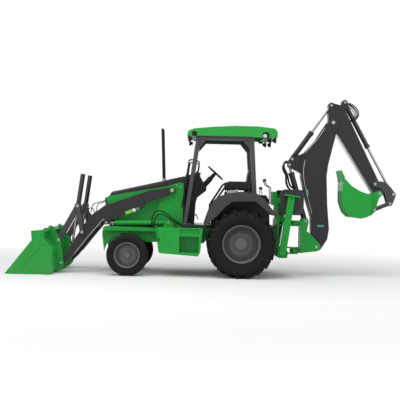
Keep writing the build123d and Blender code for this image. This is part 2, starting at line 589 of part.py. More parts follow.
def loader_side():
    """Left loader arm: box section above the knee, two plates below it."""
    arm = [
        (1336, 1699), (1469, 1668), (1762, 1622), (2632, 1305), (2920, 1091), (3195, 645), (3400, 285), (3490, 180),
        (3437, 132), (3390, 150), (3261, 278), (2905, 731), (2660, 1021), (1762, 1407), (1501, 1494), (1336, 1569),
    ]
    low, high = ARM_Y - ARM_HALF, ARM_Y + ARM_HALF
    side = outline(arm, low, high)
    side += cross_cylinder(ARM_PIVOT, 65, low, high) + cross_cylinder(BUCKET_HINGE, 60, low, high)
    lug = [(2440, 1120), (2540, 950), (2640, 950), (2680, 1080)]
    side += outline(lug, low, high)
    for place, radius, reach in ((BELL_PIN, 45, 33), (BUCKET_HINGE, 45, 33), (ROD_PIN, 34, 10), (LIFT_ROD, 34, 12)):
        side += cross_cylinder(place, radius, low - reach, high + reach)
    gap = ARM_HALF - ARM_T
    slot = [(3095, 900), (3095, 535), (3318, 248), (3370, 300), (3370, 900)]
    side -= outline(slot, ARM_Y - gap, ARM_Y + gap)
    side -= outline([(2400, 1150), (2400, 900), (2760, 900), (2700, 1150)], ARM_Y - gap, ARM_Y + gap)
    side -= cross_cylinder(ARM_PIVOT, 30, low - 10, high + 10)
    side -= cross_cylinder(BUCKET_HINGE, PIN_R + FIT, low - 60, high + 60)
    reach = PIN_REACH
    side += cross_cylinder(BELL_PIN, PIN_R, ARM_Y - reach - 8, ARM_Y + reach + 8)
    for edge in (ARM_Y - reach - 8, ARM_Y + reach):
        side += cross_cylinder(BELL_PIN, PIN_R + 8, edge, edge + 8)
    return side


def loader_arms():
    """Both arms with the tube between them and the safety channel stowed on the left one."""
    channel = [(2480, 1110), (2470, 1050), (1850, 1295), (1865, 1380)]
    left = loader_side()
    inner = ARM_Y - ARM_HALF + 1
    arms = left + mirrored(left)
    arms += outline(channel, ARM_Y + ARM_HALF - 1, ARM_Y + ARM_HALF + 20)
    return arms + cross_cylinder(CROSS_TUBE, CROSS_TUBE_R, -inner, inner)


def boom_links():
    links = []
    direction = degrees(atan2(LINK_PIN[1] - BELL_PIN[1], LINK_PIN[0] - BELL_PIN[0]))
    length = hypot(LINK_PIN[0] - BELL_PIN[0], LINK_PIN[1] - BELL_PIN[1])
    for y_low in (ARM_Y - LINK_OUT, ARM_Y + LINK_OUT - LINK_T):
        y_high = y_low + LINK_T
        link = Pos(BELL_PIN[0], (y_low + y_high) / 2, BELL_PIN[1]) * Rot(0, -direction, 0)
        link = link * Pos(length / 2, 0, 0) * Box(length, LINK_T, 80)
        link += cross_cylinder(BELL_PIN, 52, y_low, y_high) + cross_cylinder(LINK_PIN, 52, y_low, y_high)
        link -= cross_cylinder(BELL_PIN, PIN_R + FIT, y_low - 5, y_high + 5)
        link -= cross_cylinder(LINK_PIN, PIN_R + FIT, y_low - 5, y_high + 5)
        links += [link, mirrored(link)]
    return Compound(links)


def bucket_links():
    links = []
    length = hypot(BUCKET_LINK_PIN[0] - LINK_PIN[0], BUCKET_LINK_PIN[1] - LINK_PIN[1])
    direction = degrees(atan2(BUCKET_LINK_PIN[1] - LINK_PIN[1], BUCKET_LINK_PIN[0] - LINK_PIN[0]))
    pair = None
    for y_low in (ARM_Y - LINK_IN - LINK_T, ARM_Y + LINK_IN):
        y_high = y_low + LINK_T
        link = Pos(LINK_PIN[0], (y_low + y_high) / 2, LINK_PIN[1]) * Rot(0, -direction, 0)
        link = link * Pos(length / 2, 0, 0) * Box(length, LINK_T, 96)
        link += cross_cylinder(LINK_PIN, 60, y_low, y_high) + cross_cylinder(BUCKET_LINK_PIN, 44, y_low, y_high)
        link -= cross_cylinder(LINK_PIN, PIN_R + FIT, y_low - 5, y_high + 5)
        pair = link if pair is None else pair + link
    web = Pos(LINK_PIN[0], ARM_Y, LINK_PIN[1]) * Rot(0, -direction, 0)
    web = web * Pos(length * 0.75, 0, 34) * Box(length * 0.26, 2 * LINK_IN + 2, 28)
    pair += web
    pair += cross_cylinder(BUCKET_LINK_PIN, PIN_R, ARM_Y - LINK_IN - LINK_T, ARM_Y + LINK_IN + LINK_T)
    return Compound([pair, mirrored(pair)])


def bucket_barrels():
    """Barrels hung in trunnions at the link pin, closed end uppermost."""
    barrel = between(ROD_PIN, LINK_PIN, PIN_SPAN - 70, PIN_SPAN + 625, CYL_R - 4, ARM_Y)
    barrel += between(ROD_PIN, LINK_PIN, PIN_SPAN - 52, PIN_SPAN + 52, CYL_R + 3, ARM_Y)
    barrel += cross_cylinder(LINK_PIN, PIN_R, ARM_Y - LINK_OUT - 8, ARM_Y + LINK_OUT + 8)
    barrel -= between(ROD_PIN, LINK_PIN, PIN_SPAN - 90, PIN_SPAN + 590, ROD_R + FIT, ARM_Y)
    return Compound([barrel, mirrored(barrel)])


def bucket_rods():
    rod = between(ROD_PIN, LINK_PIN, 20, PIN_SPAN + 40, ROD_R, ARM_Y)
    rod += cross_cylinder(ROD_PIN, 42, ARM_Y - 28, ARM_Y + 28)
    return Compound([rod, mirrored(rod)])


def lift_barrels():
    barrel = between(LIFT_BASE, LIFT_ROD, 40, 1030, CYL_R, ARM_Y)
    barrel += cross_cylinder(LIFT_BASE, CYL_R, ARM_Y - 36, ARM_Y + 36)
    barrel -= cross_cylinder(LIFT_BASE, PIN_R + FIT, ARM_Y - 60, ARM_Y + 60)
    barrel -= between(LIFT_BASE, LIFT_ROD, 100, 1100, ROD_R + FIT, ARM_Y)
    return Compound([barrel, mirrored(barrel)])


def lift_rods():
    length = hypot(LIFT_ROD[0] - LIFT_BASE[0], LIFT_ROD[1] - LIFT_BASE[1])
    rod = between(LIFT_BASE, LIFT_ROD, 110, length - 20, ROD_R, ARM_Y)
    rod += cross_cylinder(LIFT_ROD, 42, ARM_Y - 28, ARM_Y + 28)
    return Compound([rod, mirrored(rod)])


def loader_bucket():
    """Welded bucket: bent skin, side plates with ribs, bevelled cutting edge and the ears behind."""
    outer = BUCKET_HALF - RIB_T
    side = [(BUCKET_TIP_X, 4), (3911, 640), (3929, 811), (3687, 836), (3672, 650), (3519, 471), (3519, 89), (3560, 4)]
    skin = [(BUCKET_TIP_X, 4), (3560, 4), (3519, 89), (3519, 471), (3672, 650), (3687, 836), (3703, 836), (3688, 645),
            (3535, 466), (3535, 92), (3570, 20), (4180, 20), (4190, 30), (BUCKET_TIP_X - 74, 30)]
    bucket = outline(skin, -BUCKET_HALF, BUCKET_HALF)
    ribs = [[(4130, 130), (3742, 622), (3722, 672), (3698, 672), (3662, 630), (3530, 497), (3530, 440), (3702, 590),
             (4068, 130)],
            [(3698, 640), (3735, 640), (3742, 832), (3706, 834)],
            [(3911, 640), (3929, 811), (3899, 813), (3881, 645)]]
    cheek = outline(side, outer - SIDE_T, outer)
    for rib in ribs:
        cheek += outline(rib, outer - 1, BUCKET_HALF)
    bucket += [cheek, mirrored(cheek)]
    bucket += outline([(3640, 800), (3652, 868), (3700, 862), (3703, 800)], -outer, outer)
    ear = [(3690, 830), (3682, 907), (3640, 880), (3539, 720), (3455, 660), (3376, 190), (3381, 138), (3435, 69),
           (3510, 24), (3540, 40), (3530, 470), (3680, 650)]
    for offset in (LINK_OUT - LINK_T, -LINK_OUT):
        low = ARM_Y + offset
        plate = outline(ear, low, low + LINK_T) + cross_cylinder(BUCKET_LINK_PIN, 52, low, low + LINK_T)
        bucket += plate + mirrored(plate)
    for side_sign in (1, -1):
        middle = side_sign * ARM_Y
        reach = LINK_OUT + 8
        bucket += cross_cylinder(BUCKET_HINGE, PIN_R, middle - reach, middle + reach)
        for place in (BUCKET_HINGE, BUCKET_LINK_PIN):
            for edge in (middle - reach, middle + reach - 8):
                bucket += cross_cylinder(place, PIN_R + 10, edge, edge + 8)
    return bucket


def control_consoles():
    """Rear console with two thin levers and a long bent one at its left side."""
    side = [(-555, FLOOR_Z), (-420, FLOOR_Z), (-420, 1380), (-330, 1485), (-330, 1585), (-500, 1585), (-555, 1500)]
    console = outline(side, -260, 260)
    for x, y in ((-385, 75), (-430, -75)):
        console += Pos(x, y, 1640) * Cylinder(7, 130) + knob(x, y, 1690)
    for y in (190, -190):
        path = [(-530, y, 1420), (-600, y, 1420), (-600, y, 1610), (-590, y, 1740), (-505, y, 1790), (-480, y, 1860)]
        console += tube(path, 9, 24) + knob(-480, y, 1850)
    return console


def valve_tower():
    """Stand behind the rear console with the stack of control valves on it."""
    tower = block(-758, -702, -130, 130, 1110, 1420)
    tower += block(-720, -634, -150, 150, 1390, 1660)
    for y in range(-100, 101, 50):
        tower += block(-800, -718, y - 20, y + 20, 1430, 1550)
    return tower


def rear_frame():
    """Backhoe mounting frame with the swing pivots and the stabilizer beam."""
    face = block(-760, FRAME_REAR, -420, 420, 400, 1120)
    face -= block(-800, -600, -330, 330, 540, 680)
    beam = block(-870, -740, -STAB_LEG_Y + 66, STAB_LEG_Y - 66, 385, 540)
    frame = face + beam + valve_tower()
    for low, high in SWING_EARS:
        ear = Pos(SWING_X, 0, (low + high) / 2) * Cylinder(85, high - low)
        ear += block(SWING_X, -750, -85, 85, low, high)
        frame += ear
    for low, high in ((SWING_EARS[0][0], SWING_EARS[1][1]), (SWING_EARS[2][0], SWING_EARS[3][1])):
        frame += Pos(SWING_X, 0, (low + high) / 2) * Cylinder(SWING_PIN_R, high - low)
    for side in (1, -1):
        low_y, high_y = sorted((side * (STAB_LEG_Y - 66), side * (STAB_LEG_Y - 105)))
        frame += block(-900, -700, low_y, high_y, 405, 535)
        pin, ear = stabilizer_bracket(side)
        frame = frame + pin + ear
    return frame


def swing_frame():
    casting = None
    for low, high in SWING_BOSSES:
        boss = Pos(SWING_X, 0, (low + high) / 2) * Cylinder(80, high - low)
        boss += block(-1236, SWING_X, -80, 80, low, high)
        casting = boss if casting is None else casting + boss
    web = outline([(-1195, 458), (-1195, 1072), (-1240, 1080), (-1240, 458)], -160, 160)
    casting += web
    cheek = [(-1195, 1072), (-1250, 1150), (-1340, 1150), (-1360, 1060), (-1330, 900), (-1590, 650), (-1600, 560),
             (-1540, 500), (-1195, 458)]
    for y_low, y_high in ((BOOM_HALF + 6, BOOM_HALF + 30), (-BOOM_HALF - 30, -BOOM_HALF - 6)):
        casting += outline(cheek, y_low, y_high)
        for place, radius in ((BOOM_FOOT, 85), (BOOM_CYL_BASE, 58)):
            casting += cross_cylinder(place, radius, y_low, y_high)
    casting += cross_cylinder(BOOM_CYL_BASE, BASE_PIN_R, -BOOM_HALF - 40, BOOM_HALF + 40)
    casting += cross_cylinder(BOOM_FOOT, 35, -BOOM_HALF - 44, BOOM_HALF + 44)
    for low, high in SWING_BOSSES:
        casting -= Pos(SWING_X, 0, (low + high) / 2) * Cylinder(SWING_PIN_R + FIT, high - low + 10)
    return casting


BOOM = [
    (-1600, 520), (-1739, 740), (-1769, 945), (-1723, 1425), (-1697, 1995), (-1725, 2226), (-1838, 2708), (-1880, 2890),
    (-1905, 3054), (-1850, 3140), (-1740, 3110), (-1659, 3001), (-1484, 2722), (-1239, 2443), (-1197, 2326),
    (-1193, 1961), (-1283, 1573), (-1408, 1166), (-1425, 700), (-1440, 540),
]


def boom():
    body = outline(BOOM, -BOOM_HALF, BOOM_HALF)
    body += cross_cylinder(BOOM_FOOT, 88, -BOOM_HALF, BOOM_HALF)
    body += cross_cylinder(DIPPER_PIVOT, 100, -BOOM_HALF, BOOM_HALF)
    lug = [(-1260, 2000), (-1260, 2440), (-1060, 2370), (-965, 2320), (-920, 2230), (-930, 2160), (-1000, 2140)]
    body += outline(lug, -95, 95)
    body -= outline([(-1160, 2090), (-1160, 2480), (-880, 2480), (-880, 2090)], -62, 62)
    body -= outline([(-2000, 2780), (-2000, 3300), (-1400, 3300), (-1400, 2700)], -BOOM_HALF + PLATE, BOOM_HALF - PLATE)
    for place in (BOOM_LUG, DIPPER_CYL_BASE):
        for edge in (-103, 95):
            body += cross_cylinder(place, 34, edge, edge + 8)
    body += cross_cylinder(DIPPER_CYL_BASE, PIN_R, -70, 70)
    body += cross_cylinder(DIPPER_PIVOT, 35, -BOOM_HALF - 12, BOOM_HALF + 12)
    return body - cross_cylinder(BOOM_FOOT, 35 + FIT, -BOOM_HALF - 10, BOOM_HALF + 10)


DIPPER = [
    (-2632, 1685), (-1870, 2885), (-1710, 3010), (-1708, 3390), (-1760, 3452), (-1950, 3405), (-1995, 3505),
    (-2075, 3490), (-2086, 3420), (-2049, 3300), (-2743, 1905), (-2800, 1700),
]


def dipper():
    half = DIPPER_HALF
    body = outline(DIPPER, -half, half)
    for place, radius in ((DIPPER_PIVOT, 100), (DIPPER_LEVER, 60), (BHK_CYL_BASE, 52), (GUIDE_PIN, 62), (BHK_PIVOT, 58)):
        body += cross_cylinder(place, radius, -half, half)
    body += cross_cylinder(BHK_PIVOT, 50, -115, 115)
    slot = [(-1880, 3240), (-1880, 3520), (-1600, 3520), (-1600, 3172), (-1815, 3172), (-1860, 3200)]
    body -= outline(slot, -38, 38)
    body -= outline([(-1965, 3395), (-1965, 3600), (-2200, 3600), (-2200, 3250), (-2050, 3280)], -57, 57)
    body -= cross_cylinder(DIPPER_PIVOT, 35 + FIT, -half - 5, half + 5)
    body += cross_cylinder(BHK_CYL_BASE, PIN_R, -half - 8, half + 8)
    body += cross_cylinder(GUIDE_PIN, PIN_R, -120, 120)
    for edge in (-half - 8, half):
        body += cross_cylinder(DIPPER_LEVER, 32, edge, edge + 8)
    return body - cross_cylinder(BHK_PIVOT, PIN_R + FIT, -120, 120)


def crescent_link():
    shape = [(-2664, 1917), (-2800, 1915), (-2897, 1877), (-2982, 1794), (-3044, 1712), (-3080, 1660), (-3060, 1576),
             (-3010, 1450), (-2940, 1440), (-2887, 1606), (-2850, 1700), (-2763, 1788), (-2680, 1797)]
    plates = []
    for y_low in (90, -112):
        plate = outline(shape, y_low, y_low + LINK_T) + cross_cylinder(GUIDE_PIN, 60, y_low, y_low + LINK_T)
        plate += cross_cylinder(CRESCENT_PIN, 48, y_low, y_low + LINK_T)
        plate += cross_cylinder(CRESCENT_ROD, 48, y_low, y_low + LINK_T)
        plate -= cross_cylinder(GUIDE_PIN, PIN_R + FIT, y_low - 5, y_low + LINK_T + 5)
        edge = 112 if y_low > 0 else -120
        plate += cross_cylinder(CRESCENT_ROD, 32, edge, edge + 8)
        plates.append(plate)
    return Compound([plates[0] + plates[1] + cross_cylinder(CRESCENT_PIN, PIN_R, -116, 116)])


def backhoe_link():
    length = hypot(BHK_LINK_PIN[0] - CRESCENT_PIN[0], BHK_LINK_PIN[1] - CRESCENT_PIN[1])
    direction = degrees(atan2(BHK_LINK_PIN[1] - CRESCENT_PIN[1], BHK_LINK_PIN[0] - CRESCENT_PIN[0]))
    link = Pos(CRESCENT_PIN[0], 0, CRESCENT_PIN[1]) * Rot(0, -direction, 0)
    link = link * Pos(length / 2, 0, 0) * Box(length, 168, 70)
    for place in (CRESCENT_PIN, BHK_LINK_PIN):
        link += cross_cylinder(place, 46, -84, 84)
    link += cross_cylinder(BHK_LINK_PIN, PIN_R, -112, 112)
    return link - cross_cylinder(CRESCENT_PIN, PIN_R + FIT, -90, 90)


BUCKET_SIDE = [
    (-2006, 1973), (-2170, 1803), (-2339, 1707), (-2500, 1655), (-2560, 1640), (-2575, 1400), (-2545, 1262),
    (-2480, 1200), (-2368, 1169), (-2168, 1199), (-2068, 1287), (-1996, 1484), (-1990, 1800),
]


def backhoe_bucket():
    skin = 14.0
    half = BHK_HALF
    solid = outline(BUCKET_SIDE, -half, half)
    cavity = [(-2014, 1968), (-2014, 2100), (-2546, 2100), (-2546, 1640), (-2560, 1400), (-2530, 1268),
              (-2472, 1213), (-2368, 1184), (-2174, 1212), (-2081, 1293), (-2011, 1487), (-2005, 1800)]
    bucket = solid - outline(cavity, -half + SIDE_T, half - SIDE_T)
    ear = [(-2553, 1640), (-2700, 1720), (-2800, 1640), (-2740, 1568), (-2702, 1434), (-2690, 1336), (-2600, 1240),
           (-2480, 1190), (-2476, 1206), (-2538, 1265), (-2568, 1400)]
    for y_low in (118, -140):
        bucket += outline(ear, y_low, y_low + LINK_T) + cross_cylinder(BHK_PIVOT, 58, y_low, y_low + LINK_T)
        edge = y_low + LINK_T if y_low > 0 else y_low - 8
        bucket += cross_cylinder(BHK_LINK_PIN, 32, edge, edge + 8)
    bucket += cross_cylinder(BHK_PIVOT, PIN_R, -150, 150)
    rib = [(-1994, 1700), (-1976, 1700), (-1982, 1482), (-2056, 1280), (-2160, 1186), (-2172, 1202), (-2070, 1290),
           (-1998, 1484)]
    for y in (-190, 0, 190):
        bucket += outline(rib, y - 14, y + 14)
    for number in range(5):
        y = -half + 45 + number * (2 * half - 90) / 4
        tooth = outline([(-1985, 1890), (-2028, 1890), (-2032, 1980), (-1962, 2113), (-1944, 2110), (-1978, 1960)],
                        y - 32, y + 32)
        bucket += tooth
    return bucket


def straight_cylinder(base, tip, body_end, radius, eye_half):
    """Barrel from the base pin towards the tip pin, bored for its rod."""
    barrel = between(base, tip, 30, body_end, radius, 0)
    barrel += between(base, tip, body_end - 60, body_end + 6, radius + 6, 0)
    barrel += cross_cylinder(base, radius, -eye_half, eye_half)
    barrel -= cross_cylinder(base, BASE_PIN_R + FIT, -eye_half - 5, eye_half + 5)
    return barrel - between(base, tip, 55, body_end + 20, ROD_R + FIT, 0)


def straight_rod(base, tip, start, eye_half):
    length = hypot(tip[0] - base[0], tip[1] - base[1])
    return between(base, tip, start, length - 20, ROD_R, 0) + cross_cylinder(tip, 44, -eye_half, eye_half)


def stabilizer_plane(side):
    """The tilted plane that a stabilizer turns in: its own Y runs along the stowed leg."""
    tilt = radians(STAB_TILT)
    origin = (STAB_PIN[0], side * STAB_LEG_Y, STAB_PIN[1])
    return Plane(origin=origin, x_dir=(0, side, 0), z_dir=(side * cos(tilt), 0, side * sin(tilt)))


def in_stabilizer(shape, side):
    return stabilizer_plane(side) * shape


def stabilizer_leg(side):
    leg = Pos(0, 560, 0) * Box(110, 1100, 130) + Cylinder(62, 130)
    leg -= Cylinder(STAB_PIN_R + FIT, 200)
    slot = [(-150, 190), (-150, 60), (-100, 22), (-66, 20), (-22, 34), (0, 62), (2, 100), (-20, 190)]
    leg -= extrude(Polygon(*slot, align=None), amount=27, both=True)
    for level in (-40, 40):
        leg += Pos(-50, STAB_CYL_ROD[1], level) * Box(100, 90, 20)
        leg += Pos(STAB_CYL_ROD[0], STAB_CYL_ROD[1], level) * Cylinder(36, 20)
    pad = Pos(20, 1120, 0) * Box(190, 26, 300)
    lug = Pos(0, 1085, 0) * Box(60, 70, 60)
    return in_stabilizer(leg + pad + lug, side)


def stabilizer_cylinder(side, rod):
    base, tip = STAB_CYL_BASE, STAB_CYL_ROD
    length = hypot(tip[0] - base[0], tip[1] - base[1])
    turn = degrees(atan2(tip[1] - base[1], tip[0] - base[0]))
    if rod:
        bar = Pos((90 + length) / 2, 0, 0) * Rot(0, 90, 0) * Cylinder(20, length - 100)
        body = bar + Pos(length, 0, 0) * Cylinder(34, 44)
    else:
        body = Pos(length / 2 - 25, 0, 0) * Rot(0, 90, 0) * Cylinder(40, length - 110)
        body += Cylinder(40, 60)
        body -= Cylinder(PIN_R + FIT, 100)
        body -= Pos(length / 2 + 80, 0, 0) * Rot(0, 90, 0) * Cylinder(20 + FIT, length)
    return in_stabilizer(Pos(base[0], base[1], 0) * Rot(0, 0, turn) * body, side)


def stabilizer_bracket(side):
    """Pin, cheeks and upper cylinder ear of one stabilizer, fixed to the backhoe frame."""
    pin = Cylinder(STAB_PIN_R, 190)
    for edge in (-85, 85):
        pin += Pos(-20, 0, edge) * Box(170, 120, 20)
    ear = Pos(*STAB_CYL_BASE) * Cylinder(PIN_R, 110)
    for level in (-53, 53):
        ear += Pos(STAB_CYL_BASE[0] - 20, STAB_CYL_BASE[1], level) * Box(130, 110, 20)
    ear += Pos(STAB_CYL_BASE[0] - 72, STAB_CYL_BASE[1], side * 60) * Box(26, 110, 230)
    return in_stabilizer(pin, side), in_stabilizer(ear, side)


def work_lamps():
    """Round lamps that hang from the roof's corners."""
    lamps = []
    for side in (1, -1):
        for x, z, back in ((1022, ROOF_LOW - 62, 30), (-520, ROOF_LOW - 58, -30), (-622, ROOF_LOW - 58, -30)):
            y = side * (ROOF_HALF - 72)
            body = Pos(x, y, z) * Rot(0, 90, 0) * Cylinder(50, 34)
            body += Pos(x - back, y, z) * Rot(0, 90, 0) * Cylinder(30, 46)
            body += block(x - 9, x + 9, y - 20, y + 20, z + 30, ROOF_LOW)
            lamps.append(body)
    return Compound(lamps)


PIECES = {
    "main_frame": main_frame(),
    "front_axle": front_axle(),
    "knuckle_left": knuckle(),
    "knuckle_right": mirrored(knuckle()),
    "tie_rod": tie_rod(),
    "rear_axle": rear_axle(),
    "engine": engine(),
    "hood_top": hood_top(),
    "hood_sides": hood_sides(),
    "grille": grille(),
    "cowl": cowl(),
    "side_panels": side_panels(),
    "exhaust": exhaust(),
    "platform": platform(),
    "fenders": fenders(),
    "step_boxes": step_boxes(),
    "rops_frame": rops_frame(),
    "grab_rails": grab_rails(),
    "canopy_roof": canopy_roof(),
    "work_lamps": work_lamps(),
    "seat": seat(),
    "controls": steering_column() + control_consoles(),
    "loader_arms": loader_arms(),
    "boom_links": boom_links(),
    "bucket_links": bucket_links(),
    "bucket_barrels": bucket_barrels(),
    "bucket_rods": bucket_rods(),
    "lift_barrels": lift_barrels(),
    "lift_rods": lift_rods(),
    "loader_bucket": loader_bucket(),
    "rear_frame": rear_frame(),
    "swing_frame": swing_frame(),
    "boom": boom(),
    "dipper": dipper(),
    "crescent_link": crescent_link(),
    "backhoe_link": backhoe_link(),
    "backhoe_bucket": backhoe_bucket(),
    "boom_barrel": straight_cylinder(BOOM_CYL_BASE, BOOM_LUG, 1000, 55, 60),
    "boom_rod": straight_rod(BOOM_CYL_BASE, BOOM_LUG, 100, 40),
    "dipper_barrel": straight_cylinder(DIPPER_CYL_BASE, DIPPER_LEVER, 670, 50, 50),
    "dipper_rod": straight_rod(DIPPER_CYL_BASE, DIPPER_LEVER, 625, 32),
    "curl_barrel": straight_cylinder(BHK_CYL_BASE, CRESCENT_ROD, 1005, 46, 40),
    "curl_rod": straight_rod(BHK_CYL_BASE, CRESCENT_ROD, 800, 40),
}
for side, word in ((1, "left"), (-1, "right")):
    PIECES["rear_tyre_" + word] = at_wheel(rear_tyre(), 0, REAR_Y, REAR_R, side)
    PIECES["rear_rim_" + word] = at_wheel(
        rim(REAR_RIM_R, REAR_SEAT, 22, REAR_DISC, -40, 125, 20, 60, AXLE_SHAFT_R, 165, 14, 8), 0, REAR_Y, REAR_R, side)
    PIECES["front_tyre_" + word] = at_wheel(front_tyre(), WHEELBASE, FRONT_Y, FRONT_R, side)
    PIECES["front_rim_" + word] = at_wheel(
        rim(FRONT_RIM_R, FRONT_SEAT, 16, 0, -20, 62, 80, 50, SPINDLE_R, 95, 9, 6), WHEELBASE, FRONT_Y, FRONT_R, side)
    PIECES["stabilizer_" + word] = stabilizer_leg(side)
    PIECES["stabilizer_barrel_" + word] = stabilizer_cylinder(side, False)
    PIECES["stabilizer_rod_" + word] = stabilizer_cylinder(side, True)

for name, shape in PIECES.items():
    save(shape, name)
print(len(PIECES), "nodes")
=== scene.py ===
import json
import math

import bpy
from mathutils import Matrix, Vector


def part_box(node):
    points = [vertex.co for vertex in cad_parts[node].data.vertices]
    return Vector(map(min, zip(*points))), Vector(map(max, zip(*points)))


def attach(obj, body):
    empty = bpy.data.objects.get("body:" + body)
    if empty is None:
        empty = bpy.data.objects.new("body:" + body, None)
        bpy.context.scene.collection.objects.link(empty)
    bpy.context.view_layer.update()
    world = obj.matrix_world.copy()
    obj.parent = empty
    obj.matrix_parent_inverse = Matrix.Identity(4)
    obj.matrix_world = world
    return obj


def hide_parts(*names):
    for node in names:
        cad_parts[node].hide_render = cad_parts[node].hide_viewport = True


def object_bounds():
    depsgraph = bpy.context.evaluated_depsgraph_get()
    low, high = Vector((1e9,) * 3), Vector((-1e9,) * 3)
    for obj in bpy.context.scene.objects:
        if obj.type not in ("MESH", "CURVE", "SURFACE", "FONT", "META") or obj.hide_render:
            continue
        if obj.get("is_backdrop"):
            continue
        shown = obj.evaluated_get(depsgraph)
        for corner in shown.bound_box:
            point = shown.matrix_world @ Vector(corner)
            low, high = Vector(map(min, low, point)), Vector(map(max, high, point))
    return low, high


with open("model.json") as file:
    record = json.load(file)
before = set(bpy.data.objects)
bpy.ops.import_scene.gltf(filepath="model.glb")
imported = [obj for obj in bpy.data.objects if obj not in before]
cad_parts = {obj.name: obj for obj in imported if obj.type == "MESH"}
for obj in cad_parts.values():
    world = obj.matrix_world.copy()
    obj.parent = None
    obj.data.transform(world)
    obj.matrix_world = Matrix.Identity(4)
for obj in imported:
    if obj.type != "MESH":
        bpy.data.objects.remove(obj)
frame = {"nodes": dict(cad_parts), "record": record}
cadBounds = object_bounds()
nodes = frame["nodes"]
axleShift = -0.672          # the rear axle's place along the frame's X, in metres
bothSides = ((1, "Left"), (-1, "Right"))


def linear(code):
    # a hex colour as the linear values that shaders take
    values = []
    for start in (1, 3, 5):
        part = int(code[start:start + 2], 16) / 255
        values.append(part / 12.92 if part <= 0.04045 else ((part + 0.055) / 1.055) ** 2.4)
    return (*values, 1.0)


def addNode(tree, kind, settings=None, links=None):
    # settings name an input socket or a property; links join an input socket to an output
    node = tree.nodes.new(kind)
    for key, value in (settings or {}).items():
        if isinstance(key, int) or key in node.inputs:
            node.inputs[key].default_value = value
        else:
            setattr(node, key, value)
    for key, socket in (links or {}).items():
        tree.links.new(socket, node.inputs[key])
    return node


def newMaterial(name):
    material = bpy.data.materials.new(name)
    material.use_nodes = True
    tree = material.node_tree
    tree.nodes.clear()
    output = addNode(tree, "ShaderNodeOutputMaterial")
    coords = addNode(tree, "ShaderNodeTexCoord").outputs["Object"]
    return material, tree, output, coords


def noise(tree, coords, perMetre, detail):
    settings = {"Scale": perMetre, "Detail": detail}
    return addNode(tree, "ShaderNodeTexNoise", settings, {"Vector": coords}).outputs["Fac"]


def grained(tree, coords, size):
    # leather-like cells of that size in metres
    return addNode(tree, "ShaderNodeTexVoronoi", {"Scale": 1 / size}, {"Vector": coords}).outputs["Distance"]


def blended(tree, factor, first, second):
    # a mix of two colours, each a hex code or a socket
    mix = addNode(tree, "ShaderNodeMix", {"data_type": "RGBA"}, {"Factor": factor})
    for place, colour in ((6, first), (7, second)):
        if isinstance(colour, str):
            mix.inputs[place].default_value = linear(colour)
        else:
            tree.links.new(colour, mix.inputs[place])
    return mix.outputs[2]


def worked(tree, operation, first, second):
    # a sum, product or the like of two values, each a number or a socket
    settings, links = {"operation": operation}, {}
    for place, value in enumerate((first, second)):
        (links if isinstance(value, bpy.types.NodeSocket) else settings)[place] = value
    return addNode(tree, "ShaderNodeMath", settings, links).outputs["Value"]


def ranged(tree, value, low, high, begin=0.0, end=1.0):
    # begin to end of the value becomes low to high
    settings = {"From Min": begin, "From Max": end, "To Min": low, "To Max": high}
    return addNode(tree, "ShaderNodeMapRange", settings, {"Value": value}).outputs["Result"]


def roundedEdges(tree, radius):
    return addNode(tree, "ShaderNodeBevel", {"samples": 4, "Radius": radius}).outputs["Normal"]


def bumped(tree, height, strength, distance, normal=None):
    links = {"Height": height, "Normal": normal} if normal else {"Height": height}
    settings = {"Strength": strength, "Distance": distance}
    return addNode(tree, "ShaderNodeBump", settings, links).outputs["Normal"]


def surfaced(tree, output, settings, colour=None, rough=None, normal=None):
    links = {"Base Color": colour, "Roughness": rough, "Normal": normal}
    links = {key: socket for key, socket in links.items() if socket}
    shader = addNode(tree, "ShaderNodeBsdfPrincipled", settings, links)
    tree.links.new(shader.outputs["BSDF"], output.inputs["Surface"])


print("materials: enamels")
# Machine enamel, sprayed and stoved: soft gloss with a fine orange peel, lighter on the rounded edges, which
# is partly rubbed wear and partly a painted highlight, with a film of dust low down.
# edge is the lighter paint of the rounded edges: part rubbed wear, part painted highlight
enamels = {
    "greenEnamel": {"colour": "#0D9934", "shade": "#098A2C", "edge": "#37AB50",
                    "rough": 0.38, "coat": 0.10, "gloss": 0.28},
    "canopyEnamel": {"colour": "#259C3B", "shade": "#1E9033", "edge": "#4FB65C",
                     "rough": 0.42, "coat": 0.05, "gloss": 0.28},
    "charcoalEnamel": {"colour": "#292529", "shade": "#211E21", "edge": "#4C474B",
                       "rough": 0.42, "coat": 0.06, "gloss": 0.25},
    "postEnamel": {"colour": "#454245", "shade": "#3A373A", "edge": "#6A676A",
                   "rough": 0.38, "coat": 0.08, "gloss": 0.35},
    "axleEnamel": {"colour": "#161618", "shade": "#0F0F11", "edge": "#303032",
                   "rough": 0.50, "coat": 0.0, "gloss": 0.22},
    "cylinderEnamel": {"colour": "#131215", "shade": "#0D0D0F", "edge": "#39383B",
                       "rough": 0.26, "coat": 0.15, "gloss": 0.35},
    "linkEnamel": {"colour": "#424142", "shade": "#383738", "edge": "#626162",
                   "rough": 0.40, "coat": 0.06, "gloss": 0.25},
    "rimEnamel": {"colour": "#626062", "shade": "#555355", "edge": "#807F80",
                  "rough": 0.40, "coat": 0.06, "gloss": 0.28},
    "stackEnamel": {"colour": "#151416", "shade": "#0E0D0E", "edge": "#2F2D30",
                    "rough": 0.55, "coat": 0.0, "gloss": 0.22},
}
# sizes of the patterns in metres; the dust fades out at its top
enamelLook = {"peel": 0.0045, "peelDepth": 0.0006, "peelBump": 0.12, "cloud": 0.55, "scratch": 0.05,
              "bevel": 0.005, "rubAndHighlight": 0.8, "rubAndHighlightBegin": 0.995, "rubAndHighlightEnd": 0.80, "dust": 0.06, "dustTop": 0.75,
              "dustShare": 0.16, "dustColour": "#8C8474"}


